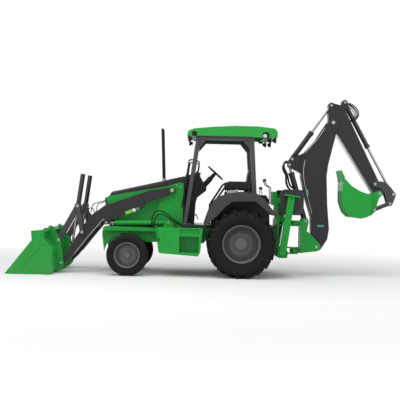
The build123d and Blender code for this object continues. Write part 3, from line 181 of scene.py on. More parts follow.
def enamel(name):
    values, look = enamels[name], enamelLook
    material, tree, output, coords = newMaterial(name)
    paint = blended(tree, noise(tree, coords, 1 / look["cloud"], 3.0), values["colour"], values["shade"])
    rounded = roundedEdges(tree, look["bevel"])
    geometry = addNode(tree, "ShaderNodeNewGeometry")
    facing = addNode(tree, "ShaderNodeVectorMath", {"operation": "DOT_PRODUCT"},
                     {0: rounded, 1: geometry.outputs["Normal"]}).outputs["Value"]
    # lighter paint on the rounded edges: part rubbed wear, part painted highlight where the edges catch the
    # light
    rubAndHighlight = ranged(tree, facing, 0.0, look["rubAndHighlight"], look["rubAndHighlightBegin"], look["rubAndHighlightEnd"])
    wornAndHighlit = worked(tree, "MULTIPLY", rubAndHighlight, noise(tree, coords, 1 / look["scratch"], 6.0))
    edgeWornAndHighlit = blended(tree, wornAndHighlit, paint, values["edge"])
    height = addNode(tree, "ShaderNodeSeparateXYZ", links={"Vector": coords}).outputs["Z"]
    low = ranged(tree, height, 0.0, look["dustShare"], look["dustTop"], 0.0)
    specks = noise(tree, coords, 1 / look["dust"], 8.0)
    film = blended(tree, worked(tree, "MULTIPLY", low, specks), edgeWornAndHighlit, look["dustColour"])
    peel = noise(tree, coords, 1 / look["peel"], 2.0)
    bump = bumped(tree, peel, look["peelBump"], look["peelDepth"], rounded)
    rough = ranged(tree, specks, values["rough"] - 0.05, values["rough"] + 0.10, 0.3, 0.7)
    surfaced(tree, output, {"IOR": 1.5, "Coat Weight": values["coat"], "Specular IOR Level": values["gloss"],
                            "Coat Roughness": 0.12}, film, rough, bump)
    return material


finishes = {name: enamel(name) for name in enamels}

print("materials: plastics, rubber and bare metal")
# Moulded polyethylene and nylon: dull, with a leather-like grain that only shows close to.
plastics = {
    "fenderPlastic": {"colour": "#3E3C3E", "shade": "#363436", "rough": 0.52, "grain": 0.003},
    "blackNylon": {"colour": "#121214", "shade": "#0C0C0E", "rough": 0.50, "grain": 0.002},
    "lampHousing": {"colour": "#101012", "shade": "#0A0A0C", "rough": 0.45, "grain": 0.002},
    "hoseRubber": {"colour": "#0F0F11", "shade": "#09090B", "rough": 0.55, "grain": 0.0025},
}
plasticLook = {"cloudsPerMetre": 6.0, "bevel": 0.006, "grainBump": 0.25, "grainDepth": 0.0005}


def plastic(name):
    values, look = plastics[name], plasticLook
    material, tree, output, coords = newMaterial(name)
    cloud = noise(tree, coords, look["cloudsPerMetre"], 4.0)
    tint = blended(tree, cloud, values["colour"], values["shade"])
    rounded = roundedEdges(tree, look["bevel"])
    grain = grained(tree, coords, values["grain"])
    bump = bumped(tree, grain, look["grainBump"], look["grainDepth"], rounded)
    rough = ranged(tree, cloud, values["rough"] - 0.06, values["rough"] + 0.08, 0.3, 0.7)
    surfaced(tree, output, {"IOR": 1.49, "Specular IOR Level": 0.25}, tint, rough, bump)
    return material


finishes.update({name: plastic(name) for name in plastics})

chromeLook = {"colour": "#8F9092", "hazePerMetre": 30.0, "rough": (0.14, 0.30)}
platedLook = {"colour": "#B9B7B2", "shade": "#98958E", "cloudsPerMetre": 60.0, "rough": (0.25, 0.45)}
castLook = {"colour": "#39393B", "shade": "#29292B", "cloudsPerMetre": 5.0, "skinPerMetre": 180.0,
            "skinBump": 0.4, "skinDepth": 0.001, "rough": (0.5, 0.7)}
rubberLook = {"colour": "#101012", "bloom": "#34312E", "bloomShare": 0.35, "rings": 60.0, "ringShare": 0.25,
              "skinPerMetre": 90.0, "dirtPerMetre": 9.0, "bump": 0.35, "depth": 0.0015, "bevel": 0.006,
              "rough": (0.62, 0.86)}
plateLook = {"colour": "#141415", "bar": "#2D2D2E", "barsPerMetre": 28.0, "dirtPerMetre": 12.0,
             "bump": 0.6, "depth": 0.002, "rough": (0.35, 0.6)}
vinylLook = {"colour": "#18171A", "shade": "#100F11", "grain": 0.004, "grainBump": 0.3,
             "grainDepth": 0.0006, "cloudsPerMetre": 8.0, "rough": (0.42, 0.6)}


def hardChrome():
    # Hard chrome on the cylinder rods: ground and polished, a mirror with a faint haze.
    material, tree, output, coords = newMaterial("hardChrome")
    haze = noise(tree, coords, chromeLook["hazePerMetre"], 5.0)
    settings = {"Base Color": linear(chromeLook["colour"]), "Metallic": 1.0}
    surfaced(tree, output, settings, rough=ranged(tree, haze, *chromeLook["rough"]))
    return material


def platedSteel():
    # Zinc-plated steel of pins and bolts: bright but dull, with cloudy passivation.
    material, tree, output, coords = newMaterial("platedSteel")
    cloud = noise(tree, coords, platedLook["cloudsPerMetre"], 6.0)
    tint = blended(tree, cloud, platedLook["colour"], platedLook["shade"])
    surfaced(tree, output, {"Metallic": 0.9}, tint, ranged(tree, cloud, *platedLook["rough"]))
    return material


def castIron():
    # Painted sand casting: coarse skin under a dull grey coat.
    material, tree, output, coords = newMaterial("castIron")
    skin = noise(tree, coords, castLook["skinPerMetre"], 6.0)
    cloud = noise(tree, coords, castLook["cloudsPerMetre"], 4.0)
    tint = blended(tree, cloud, castLook["colour"], castLook["shade"])
    bump = bumped(tree, skin, castLook["skinBump"], castLook["skinDepth"])
    surfaced(tree, output, {"IOR": 1.5}, tint, ranged(tree, cloud, *castLook["rough"]), bump)
    return material


def tyreRubber(name, hub, beadRadius, treadRadius):
    # Carbon-black rubber: moulded rings on the sidewall, a grey bloom of dust toward the tread.
    look = rubberLook
    material, tree, output, coords = newMaterial(name)
    settings = {"Location": (-hub[0], 0.0, -hub[2]), "Scale": (1.0, 0.0, 1.0)}
    centred = addNode(tree, "ShaderNodeMapping", settings, {"Vector": coords}).outputs["Vector"]
    radius = addNode(tree, "ShaderNodeVectorMath", {"operation": "LENGTH"}, {0: centred}).outputs["Value"]
    share = ranged(tree, radius, 0.0, 1.0, beadRadius, treadRadius)
    rings = addNode(tree, "ShaderNodeMath", {"operation": "SINE"},
                    {0: worked(tree, "MULTIPLY", share, look["rings"])}).outputs["Value"]
    skin = noise(tree, coords, look["skinPerMetre"], 6.0)
    dirt = noise(tree, coords, look["dirtPerMetre"], 8.0)
    film = worked(tree, "MULTIPLY", worked(tree, "MULTIPLY", share, dirt), look["bloomShare"])
    tint = blended(tree, film, look["colour"], look["bloom"])
    relief = worked(tree, "ADD", worked(tree, "MULTIPLY", rings, look["ringShare"]), skin)
    bump = bumped(tree, relief, look["bump"], look["depth"], roundedEdges(tree, look["bevel"]))
    settings = {"IOR": 1.52, "Specular IOR Level": 0.16}
    surfaced(tree, output, settings, tint, ranged(tree, dirt, *look["rough"]), bump)
    return material


def checkerPlate():
    # Rolled tread plate, painted black: rows of raised lozenges set at 45 degrees.
    look = plateLook
    material, tree, output, coords = newMaterial("checkerPlate")
    diagonal = addNode(tree, "ShaderNodeMapping", {"Rotation": (0.0, 0.0, math.radians(45)),
                                                   "Scale": (look["barsPerMetre"],) * 3}, {"Vector": coords})
    settings = {"distance": "CHEBYCHEV", "Scale": 1.0, "Randomness": 0.0}
    lozenges = addNode(tree, "ShaderNodeTexVoronoi", settings, {"Vector": diagonal.outputs["Vector"]})
    bars = ranged(tree, lozenges.outputs["Distance"], 1.0, 0.0, 0.25, 0.35)
    dirt = noise(tree, coords, look["dirtPerMetre"], 6.0)
    tint = blended(tree, bars, look["colour"], look["bar"])
    bump = bumped(tree, bars, look["bump"], look["depth"])
    surfaced(tree, output, {"IOR": 1.5}, tint, ranged(tree, dirt, *look["rough"]), bump)
    return material


def seatVinyl():
    # Embossed vinyl over foam: soft sheen, fine leather grain.
    look = vinylLook
    material, tree, output, coords = newMaterial("seatVinyl")
    cloud = noise(tree, coords, look["cloudsPerMetre"], 5.0)
    tint = blended(tree, cloud, look["colour"], look["shade"])
    bump = bumped(tree, grained(tree, coords, look["grain"]), look["grainBump"], look["grainDepth"])
    settings = {"IOR": 1.5, "Specular IOR Level": 0.30, "Sheen Weight": 0.08, "Sheen Roughness": 0.4}
    surfaced(tree, output, settings, tint, ranged(tree, cloud, *look["rough"]), bump)
    return material


for maker in (hardChrome, platedSteel, castIron, checkerPlate, seatVinyl):
    finish = maker()
    finishes[finish.name] = finish

slotFinish = {
    "green": "greenEnamel", "canopy_green": "canopyEnamel", "charcoal": "charcoalEnamel",
    "fender_grey": "fenderPlastic", "axle_black": "axleEnamel", "engine_grey": "castIron",
    "black_plastic": "blackNylon", "exhaust_black": "stackEnamel", "floor_black": "checkerPlate",
    "lamp_black": "lampHousing", "seat_black": "seatVinyl", "cylinder_black": "cylinderEnamel",
    "rod_chrome": "hardChrome", "link_grey": "linkEnamel", "rim_grey": "rimEnamel",
}
nodeFinish = {"rops_frame": "postEnamel"}          # nodes whose paint differs from their slot's

# Tyres: the hub in millimetres, the rest in metres; seat is half the rim's width, half is half the tyre's.
tyreSets = {
    "rear": {"hub": (0.0, 842.5, 648.0), "half": 0.2475, "bead": 0.338, "seat": 0.1725, "base": 0.614,
             "tread": 0.648, "steps": 120},
    "front": {"hub": (2142.0, 875.0, 392.0), "bead": 0.228, "seat": 0.098, "tread": 0.392, "steps": 96},
}

print("materials: laid on the nodes")
for part in frame["record"]["subparts"]:
    name = part["node"]
    if "tyre" in name:
        lowest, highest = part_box(name)
        sizes = tyreSets[name.split("_")[0]]
        finish = tyreRubber("tyreRubber_" + name, (lowest + highest) / 2, sizes["bead"], sizes["tread"])
        finishes[finish.name] = finish
    else:
        finish = finishes[nodeFinish.get(name) or slotFinish[part["material_slot"]]]
    nodes[name].data.materials.clear()
    nodes[name].data.materials.append(finish)

print("materials: glass, trim and decal films")
# Lamp glass, rubber pads and the plain films that stand where a decal would be: lightly grained, with a
# thin clear skin.
trims = {
    "lampGlass": {"colour": "#C9CDD2", "shade": "#AEB3BA", "rough": 0.10, "grain": 0.004, "bump": 0.35},
    # pale grey of the fender lens, which also paints the highlight on the fender top
    "greyLensAndHighlight": {"colour": "#8E9092", "shade": "#76787B", "rough": 0.22, "grain": 0.005, "bump": 0.30},
    "redLens": {"colour": "#8E1218", "shade": "#6B0C12", "rough": 0.15, "grain": 0.005, "bump": 0.30},
    "limeFilm": {"colour": "#6FBE3C", "shade": "#63B033", "rough": 0.30, "grain": 0.02, "bump": 0.04},
    "whiteFilm": {"colour": "#DADDD6", "shade": "#C6CAC2", "rough": 0.32, "grain": 0.02, "bump": 0.04},
    "greyFilm": {"colour": "#68706A", "shade": "#59615B", "rough": 0.35, "grain": 0.02, "bump": 0.04},
    "tealFilm": {"colour": "#2F9C84", "shade": "#288A75", "rough": 0.32, "grain": 0.02, "bump": 0.04},
    "padRubber": {"colour": "#2A2829", "shade": "#1F1D1E", "rough": 0.72, "grain": 0.006, "bump": 0.35},
    "dialFace": {"colour": "#D5D6D2", "shade": "#B9BAB6", "rough": 0.40, "grain": 0.01, "bump": 0.05},
}
trimLook = {"cloudsPerMetre": 14.0, "grainDepth": 0.0006}


def trim(name):
    values, look = trims[name], trimLook
    material, tree, output, coords = newMaterial(name)
    cloud = noise(tree, coords, look["cloudsPerMetre"], 5.0)
    tint = blended(tree, cloud, values["colour"], values["shade"])
    bump = bumped(tree, grained(tree, coords, values["grain"]), values["bump"], look["grainDepth"])
    rough = ranged(tree, cloud, values["rough"] - 0.04, values["rough"] + 0.12)
    surfaced(tree, output, {"IOR": 1.5, "Coat Weight": 0.1}, tint, rough, bump)
    return material


finishes.update({name: trim(name) for name in trims})


def at(x, y, z):
    # millimetres ahead of the rear axle, to the left and up, as a point of the frame in metres
    return Vector((x / 1000 + axleShift, y / 1000, z / 1000))


def start():
    if bpy.context.object and bpy.context.object.mode != "OBJECT":
        bpy.ops.object.mode_set(mode="OBJECT")
    bpy.ops.object.select_all(action="DESELECT")


def use(piece):
    start()
    piece.select_set(True)
    bpy.context.view_layer.objects.active = piece


def editAll(piece):
    use(piece)
    bpy.ops.object.mode_set(mode="EDIT")
    bpy.ops.mesh.select_all(action="SELECT")


def pick(piece, kind, test):
    # leaves the piece in edit mode with only the faces, edges or points that the test names
    use(piece)
    bpy.ops.object.mode_set(mode="EDIT")
    bpy.ops.mesh.select_mode(type=kind)
    bpy.ops.mesh.select_all(action="DESELECT")
    bpy.ops.object.mode_set(mode="OBJECT")
    mesh = piece.data
    if kind == "FACE":
        for face in mesh.polygons:
            face.select = test(face.center, face.normal)
    elif kind == "EDGE":
        for edge in mesh.edges:
            a, b = (mesh.vertices[index].co for index in edge.vertices)
            edge.select = test((a + b) / 2, (b - a).normalized())
    else:
        for point in mesh.vertices:
            point.select = test(point.co)
    bpy.ops.object.mode_set(mode="EDIT")


def shaped(piece, kind, **settings):
    use(piece)
    modifier = piece.modifiers.new(kind.title(), kind)
    for key, value in settings.items():
        setattr(modifier, key, value)
    bpy.ops.object.modifier_apply(modifier=modifier.name)


def settle(piece, name, body, finish, angle=32):
    # a finished piece: place applied, faces outward, named, painted and riding its body
    use(piece)
    bpy.ops.object.transform_apply(location=True, rotation=True, scale=True)
    editAll(piece)
    bpy.ops.mesh.normals_make_consistent(inside=False)
    bpy.ops.object.mode_set(mode="OBJECT")
    bpy.ops.object.shade_smooth_by_angle(angle=math.radians(angle))
    piece.name = name
    piece.data.materials.clear()
    piece.data.materials.append(finishes[finish])
    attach(piece, body)
    start()
    return piece


def oneOf(pieces):
    start()
    for piece in pieces:
        piece.select_set(True)
    bpy.context.view_layer.objects.active = pieces[0]
    if len(pieces) > 1:
        bpy.ops.object.join()
    return bpy.context.object


def turnedCopy(piece, turn, centre):
    # the same piece turned about a line across the machine
    use(piece)
    bpy.ops.object.duplicate(linked=False)
    twin = bpy.context.object
    editAll(twin)
    bpy.ops.transform.rotate(value=turn, orient_axis="Y", center_override=centre)
    bpy.ops.object.mode_set(mode="OBJECT")
    return twin


def mirrorOf(piece):
    # the same piece on the machine's right side
    use(piece)
    bpy.ops.object.duplicate(linked=False)
    twin = bpy.context.object
    editAll(twin)
    bpy.ops.transform.mirror(constraint_axis=(False, True, False), center_override=(0.0, 0.0, 0.0))
    bpy.ops.mesh.normals_make_consistent(inside=False)
    bpy.ops.object.mode_set(mode="OBJECT")
    return twin


def settleBoth(piece, name, body, finish, angle=32):
    # a piece on the left and its mirror image on the right, on a body that reaches across
    left = settle(piece, name + "Left", body, finish, angle)
    settle(mirrorOf(left), name + "Right", body, finish, angle)


def slab(middle, size, edge=0.004, tilt=0.0, inset=0.0, sink=0.0, side="Z"):
    # a block tilted about Y, its edges rounded, with the face on one side inset
    start()
    bpy.ops.mesh.primitive_cube_add(size=1.0, location=middle, scale=size)
    piece = bpy.context.object
    piece.rotation_euler = (0.0, tilt, 0.0)
    if inset:
        axis = "XYZ".index(side[-1])
        sign = -1 if side.startswith("-") else 1
        pick(piece, "FACE", lambda centre, normal: normal[axis] * sign > 0.9)
        bpy.ops.object.mode_set(mode="OBJECT")
        bpy.ops.object.transform_apply(location=False, rotation=False, scale=True)
        bpy.ops.object.mode_set(mode="EDIT")
        bpy.ops.mesh.inset(thickness=inset, depth=sink)
        bpy.ops.object.mode_set(mode="OBJECT")
    else:
        use(piece)
        bpy.ops.object.transform_apply(location=False, rotation=False, scale=True)
    shaped(piece, "BEVEL", width=edge, segments=2, limit_method="ANGLE")
    return piece


def slabAt(row, side=1):
    # a block from its row: middle in millimetres, size in metres, then edge, tilt, inset, sink and inset side
    (x, y, z), *rest = row
    return slab(at(x, side * y, z), *rest)


def turned(profile, centre, axis="Y", steps=48):
    # a closed outline of (along, radius) pairs in metres, drawn point by point and spun about the axis
    joint = 0.00005
    start()
    bpy.ops.mesh.primitive_plane_add(size=0.01, location=(0.0, 0.0, 0.0))
    piece = bpy.context.object
    bpy.ops.object.mode_set(mode="EDIT")
    bpy.ops.mesh.select_mode(type="VERT")
    bpy.ops.mesh.select_all(action="SELECT")
    bpy.ops.mesh.merge(type="CENTER")
    line = {"X": Vector((1, 0, 0)), "Y": Vector((0, 1, 0)), "Z": Vector((0, 0, 1))}[axis]
    out = Vector((0, 0, 1)) if axis != "Z" else Vector((1, 0, 0))
    spots = [line * along + out * radius + Vector(centre) for along, radius in profile]
    bpy.ops.transform.translate(value=spots[0])
    for last, spot in zip(spots, spots[1:] + spots[:1]):
        bpy.ops.mesh.extrude_vertices_move(TRANSFORM_OT_translate={"value": spot - last})
    bpy.ops.mesh.select_all(action="SELECT")
    bpy.ops.mesh.remove_doubles(threshold=joint)
    bpy.ops.mesh.spin(steps=steps, angle=2 * math.pi, center=centre, axis=line)
    bpy.ops.mesh.select_all(action="SELECT")
    bpy.ops.mesh.remove_doubles(threshold=joint)
    bpy.ops.mesh.normals_make_consistent(inside=False)
    bpy.ops.object.mode_set(mode="OBJECT")
    return piece


def hose(points, radius):
    # a line on one smooth curve through its holders, both ends inside what carries it
    start()
    bpy.ops.curve.primitive_nurbs_path_add(location=(0.0, 0.0, 0.0))
    line = bpy.context.object
    line.data.splines.remove(line.data.splines[0])
    spline = line.data.splines.new("NURBS")
    spline.points.add(len(points) - 1)
    for point, spot in zip(spline.points, points):
        point.co = (*at(*spot), 1.0)
    spline.order_u = 3
    spline.use_endpoint_u = True
    spline.resolution_u = 8
    line.data.bevel_depth = radius
    line.data.bevel_resolution = 3
    line.data.use_fill_caps = True
    use(line)
    bpy.ops.object.convert(target="MESH")
    return bpy.context.object


print("tyres: moulded casings with their lugs and ribs")
# lugs of the rear tread, in metres: shoulder and foot are drawn outward and down
lugSet = {"count": 20, "lean": math.radians(36.0), "size": (0.046, 0.270, 0.058), "lift": 0.006,
          "crown": (0.70, 0.97, 1.0), "shoulder": (0.014, -0.042), "foot": (0.004, -0.034),
          "taper": (0.90, 1.0, 0.7), "edge": 0.004}


def bothEnds(right):
    return right + [(-along, radius) for along, radius in reversed(right)]


def rearLug(side):
    # one leaning bar of the tread, with its foot drawn down over the shoulder
    sizes = tyreSets["rear"]
    start()
    spot = at(*sizes["hub"]) + Vector((0.0, side * sizes["half"] / 2, sizes["base"] + lugSet["lift"]))
    bpy.ops.mesh.primitive_cube_add(size=1.0, location=spot, scale=lugSet["size"])
    lug = bpy.context.object
    bpy.ops.object.transform_apply(location=False, rotation=False, scale=True)
    pick(lug, "FACE", lambda centre, normal: normal.z > 0.9)
    bpy.ops.transform.resize(value=lugSet["crown"])
    pick(lug, "FACE", lambda centre, normal: normal.y * side > 0.9)
    for out, down in (lugSet["shoulder"], lugSet["foot"]):
        bpy.ops.mesh.extrude_region_move(TRANSFORM_OT_translate={"value": (0.0, side * out, down)})
    bpy.ops.transform.resize(value=lugSet["taper"])
    bpy.ops.object.mode_set(mode="OBJECT")
    shaped(lug, "BEVEL", width=lugSet["edge"], segments=1, limit_method="ANGLE")
    lug.rotation_euler = (0.0, 0.0, lugSet["lean"] * side)
    bpy.ops.object.transform_apply(location=True, rotation=True, scale=True)
    return lug


def rearTyre():
    sizes = tyreSets["rear"]
    hub, base, half = at(*sizes["hub"]), sizes["base"], sizes["half"]
    right = [(sizes["seat"] + 0.001, sizes["bead"] + 0.001), (0.181, 0.350), (0.190, 0.366), (0.206, 0.380),
             (0.226, 0.418), (0.236, 0.440), (0.2385, 0.452), (0.244, 0.470), (half - 0.001, 0.505),
             (half - 0.001, 0.540), (half - 0.010, 0.562), (half - 0.026, 0.580), (half - 0.048, 0.592),
             (0.150, base - 0.012), (0.06, base - 0.004)]
    casing = turned(bothEnds(right), hub, "Y", sizes["steps"])
    step = 2 * math.pi / lugSet["count"]
    lugs = []
    for side, _ in bothSides:
        lug = rearLug(side)
        if side < 0:
            first = turnedCopy(lug, step / 2, hub)
            bpy.data.objects.remove(lug)
            lug = first
        lugs.append(lug)
        for number in range(1, lugSet["count"]):
            lugs.append(turnedCopy(lug, step * number, hub))
    return oneOf([casing, *lugs])


def frontTyre():
    sizes = tyreSets["front"]
    right = [(sizes["seat"] + 0.001, sizes["bead"] + 0.001), (0.104, 0.236), (0.113, 0.247), (0.121, 0.262),
             (0.1335, 0.292), (0.1355, 0.304), (0.139, 0.316), (0.139, 0.334), (0.134, 0.356), (0.124, 0.374),
             (0.112, 0.385), (0.096, 0.3885), (0.070, 0.390), (0.066, 0.378), (0.052, 0.378), (0.048, 0.391),
             (0.020, 0.3915), (0.016, 0.379)]
    return turned(bothEnds(right), at(*sizes["hub"]), "Y", sizes["steps"])


for axle, maker in (("rear", rearTyre), ("front", frontTyre)):
    left = maker()
    right = mirrorOf(left)
    for piece, word in ((left, "left"), (right, "right")):
        node = axle + "_tyre_" + word
        settle(piece, axle + "Tyre" + word.title(), axle + "_wheel_" + word, "tyreRubber_" + node, 34)
        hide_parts(node)

print("seat: moulded foam under vinyl")
seatLean = math.atan2(100, 610)
# foam pads: middle in millimetres, size, side that swells and how far, way across the seams, their places
padRows = {
    "cushion": ((110, 0, 1512), (0.44, 0.48, 0.135), "Z", 0.02, (0.0, 1.0, 0.0), (0.10, -0.10)),
    "back": ((-146, 0, 1800), (0.075, 0.44, 0.60), "X", 0.012, (0.0, 0.0, 1.0), (0.09, -0.07)),
    "arm": ((76, 255, 1745), (0.48, 0.085, 0.15), "Z", 0.006),
}
seatSet = {"shell": ((-212, 0, 1770), (0.022, 0.40, 0.50), 0.008, -seatLean, 0.03, -0.004, "-X"),
           "pan": ((95, 0, 1447), (0.36, 0.36, 0.012)), "post": ((-130, 236, 1640), (0.05, 0.016, 0.20))}
foamSet = {"edge": 0.28, "border": 0.020, "channel": 0.006, "channelDepth": 0.009, "field": 0.045,
           "seamHalf": 0.008, "seamDepth": 0.010}


def puffed(row, side=1):
    # a block of foam, subdivided: its face crowned, a sewn channel round the border and seams across it
    (x, y, z), size, crownSide, crown, *seamRow = row
    across, seams = seamRow or ((0.0, 0.0, 0.0), ())
    middle, across = at(x, side * y, z), Vector(across)
    start()
    bpy.ops.mesh.primitive_cube_add(size=1.0, location=middle, scale=size)
    foam = bpy.context.object
    bpy.ops.object.transform_apply(location=False, rotation=False, scale=True)
    axis = "XYZ".index(crownSide)
    shaped(foam, "BEVEL", width=min(size) * foamSet["edge"], segments=3, limit_method="ANGLE")
    pick(foam, "FACE", lambda centre, normal: normal[axis] > 0.99)
    bpy.ops.mesh.inset(thickness=foamSet["border"], depth=crown * 0.5)
    bpy.ops.mesh.inset(thickness=foamSet["channel"], depth=-foamSet["channelDepth"])
    bpy.ops.mesh.inset(thickness=foamSet["channel"], depth=foamSet["channelDepth"])
    bpy.ops.mesh.inset(thickness=foamSet["field"], depth=crown * 0.5)
    bpy.ops.object.mode_set(mode="OBJECT")
    for seam in seams:
        editAll(foam)
        for gap in (-foamSet["seamHalf"], 0.0, foamSet["seamHalf"]):
            bpy.ops.mesh.bisect(plane_co=middle + across * seam + across * gap, plane_no=across)
            bpy.ops.mesh.select_all(action="SELECT")
        pick(foam, "VERT", lambda co: abs(co.dot(across) - seam) < 0.001 and co[axis] > size[axis] * 0.40)
        push = Vector()
        push[axis] = -foamSet["seamDepth"]
        bpy.ops.transform.translate(value=push)
        bpy.ops.object.mode_set(mode="OBJECT")
    shaped(foam, "SUBSURF", levels=2, render_levels=2)
    return foam


def seatPieces():
    cushion = puffed(padRows["cushion"])
    settle(cushion, "seatCushion", "seat", "seatVinyl", 60)
    back = puffed(padRows["back"])
    back.rotation_euler = (0.0, -seatLean, 0.0)
    settle(back, "seatBack", "seat", "seatVinyl", 60)
    for side, word in bothSides:
        arm = puffed(padRows["arm"], side)
        settle(arm, "armRest" + word, "seat", "seatVinyl", 60)
    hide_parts("seat")
    settle(slabAt(seatSet["shell"]), "seatShell", "seat", "blackNylon")
    settle(slabAt(seatSet["pan"]), "seatPan", "seat", "axleEnamel")
    for side, word in bothSides:
        settle(slabAt(seatSet["post"], side), "armPost" + word, "seat", "axleEnamel")


seatPieces()

print("lamps and lenses")
# work lamps: place along, up and the way they look; the glass stands that far before the lamp's middle
workLampSet = {"side": 618, "reach": 17, "spots": {"front": (1022, 2628, 1), "rearInner": (-520, 2632, -1),
                                                  "rearOuter": (-622, 2632, 1)}}
fenderSlope, tailSlope = math.atan2(47, 251), -math.atan2(139, 160)
# the fender lens is a pale grey block on the fender top: partly a lens, partly a painted highlight
lensSet = {"fender": ((184, 1000, 1616), (0.210, 0.075, 0.072), 0.014, fenderSlope, 0.008, 0.004),
           "tail": ((-634, 960, 1254), (0.085, 0.13, 0.030), 0.006, tailSlope, 0.010, 0.003)}
# round lamps in the roof's sides: place along and up, radius of the dark cup and of its glass, if it has one
roofLampSet = {"side": 690, "glassShift": (18, 1, -12),
               "spots": {"Rear": (-436, 2722, 0.068, 0.036), "Front": (931, 2728, 0.052, 0.0)}}
# head lamps: all in metres, placed by the grille's top; size, edge, tilt, inset, sink and inset side
headLampSet = {"side": 0.235, "drop": 0.075, "proud": 0.002, "back": 0.006,
               "lens": ((0.024, 0.135, 0.078), 0.008, 0.0, 0.008, -0.004, "X"),
               "bezel": ((0.020, 0.158, 0.100), 0.006, 0.0, 0.006, -0.003, "X")}


def workLamps():
    for word, (x, z, way) in workLampSet["spots"].items():
        for side, sideWord in bothSides:
            hub = at(x + way * workLampSet["reach"], side * workLampSet["side"], z)
            ring = turned([(0.0, 0.041), (0.0, 0.049), (way * 0.007, 0.0485), (way * 0.008, 0.044),
                           (way * 0.004, 0.041)], hub, "X", 40)
            settle(ring, word + "LampBezel" + sideWord, "frame", "blackNylon")
            glass = turned([(0.0, 0.0), (0.0, 0.042), (way * 0.0025, 0.042), (way * 0.006, 0.030),
                            (way * 0.008, 0.0)], hub, "X", 40)
            settle(glass, word + "LampGlass" + sideWord, "frame", "lampGlass", 40)


def fenderAndTailLensesWithHighlight():
    for side, word in bothSides:
        # the fender's pale block is partly lens and partly painted highlight; the tail lens is red
        settle(slabAt(lensSet["fender"], side), "fenderLensAndHighlight" + word, "frame", "greyLensAndHighlight")
        settle(slabAt(lensSet["tail"], side), "tailLens" + word, "frame", "redLens")


def roofLamps():
    y, (ahead, out, up) = roofLampSet["side"], roofLampSet["glassShift"]
    for word, (x, z, cup, glass) in roofLampSet["spots"].items():
        ring = turned([(-0.004, 0.0), (-0.004, cup), (0.003, cup), (0.005, cup - 0.006), (0.001, cup - 0.012),
                       (0.001, 0.0)], at(x, y, z), "Y", 40)
        settleBoth(ring, "roofCup" + word, "frame", "lampHousing")
        if glass:
            lens = turned([(0.0, 0.0), (0.0, glass), (0.004, glass), (0.010, glass * 0.6), (0.012, 0.0)],
                          at(x + ahead, y + out, z + up), "Y", 40)
            settleBoth(lens, "roofLamp", "frame", "lampGlass", 40)


def headLamps():
    lowest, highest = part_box("grille")
    sizes = headLampSet
    for side, word in bothSides:
        middle = Vector((highest.x + sizes["proud"], side * sizes["side"], highest.z - sizes["drop"]))
        settle(slab(middle, *sizes["lens"]), "headLamp" + word, "hood", "lampGlass", 40)
        middle = middle - Vector((sizes["back"], 0.0, 0.0))
        settle(slab(middle, *sizes["bezel"]), "headLampFrame" + word, "hood", "blackNylon")


workLamps()
fenderAndTailLensesWithHighlight()
roofLamps()
headLamps()

print("pin heads")
pinSpots = [
    # place along and up, distance from the middle, radius, body
    ((1336, 1634), 591, 30, "frame"), ((2588, 980), 587, 22, "loader_arms"),
    ((3045, 790), 640, 26, "loader_arms"), ((3143, 1287), 640, 26, "bucket_barrels"),
    ((3437, 192), 640, 27, "loader_bucket"), ((3498, 625), 640, 27, "loader_bucket"),
    ((1391, 1008), 598, 20, "frame"), ((-1520, 589), 174, 30, "swing_frame"),
    ((-1300, 1091), 170, 24, "swing_frame"), ((-961, 2200), 103, 27, "boom"),
    ((-1012, 2312), 103, 27, "boom"),
    ((-1805, 3054), 142, 34, "boom"), ((-2034, 3461), 93, 24, "dipper"), ((-1768, 3394), 93, 25, "dipper"),
    ((-2664, 1857), 120, 25, "dipper"), ((-2755, 1670), 150, 25, "backhoe_bucket"),
    ((-2967, 1477), 116, 24, "crescent_link"), ((-3028, 1662), 120, 26, "crescent_link"),
    ((-2655, 1345), 148, 26, "backhoe_bucket"),
]


# metres, or shares of the pin head's radius; the bolt stands that many millimetres out
headSet = {"sunk": 0.002, "rim": 0.004, "face": 0.0055, "chamfer": 0.002, "dish": 0.5, "dishFoot": 0.42,
           "bolt": 0.36, "boltDepth": 0.008, "boltEdge": 0.0012, "boltOut": 7}
upright, sideways = (0.0, 0.0, 0.0), (math.radians(90), 0.0, 0.0)


def hexBolt(spot, radius, depth, turn, edge):
    start()
    bpy.ops.mesh.primitive_cylinder_add(vertices=6, radius=radius, depth=depth, location=spot, rotation=turn)
    bolt = bpy.context.object
    shaped(bolt, "BEVEL", width=edge, segments=1, limit_method="ANGLE")
    bpy.ops.object.transform_apply(location=True, rotation=True, scale=True)
    return bolt


def pinHeads():
    # a washer with a hexagon bolt before it, on both ends of each pin
    for number, ((x, z), y, radius, body) in enumerate(pinSpots):
        r = radius / 1000
        sunk, rim, face = -headSet["sunk"], headSet["rim"], headSet["face"]
        head = turned([(sunk, 0.0), (sunk, r), (rim, r), (face, r - headSet["chamfer"]),
                       (face, r * headSet["dish"]), (rim, r * headSet["dishFoot"]), (rim, 0.0)],
                      at(x, y, z), "Y", 32)
        bolt = hexBolt(at(x, y + headSet["boltOut"], z), r * headSet["bolt"], headSet["boltDepth"], sideways,
                       headSet["boltEdge"])
        settleBoth(oneOf([head, bolt]), "pinHead%02d" % number, body, "platedSteel")


pinHeads()

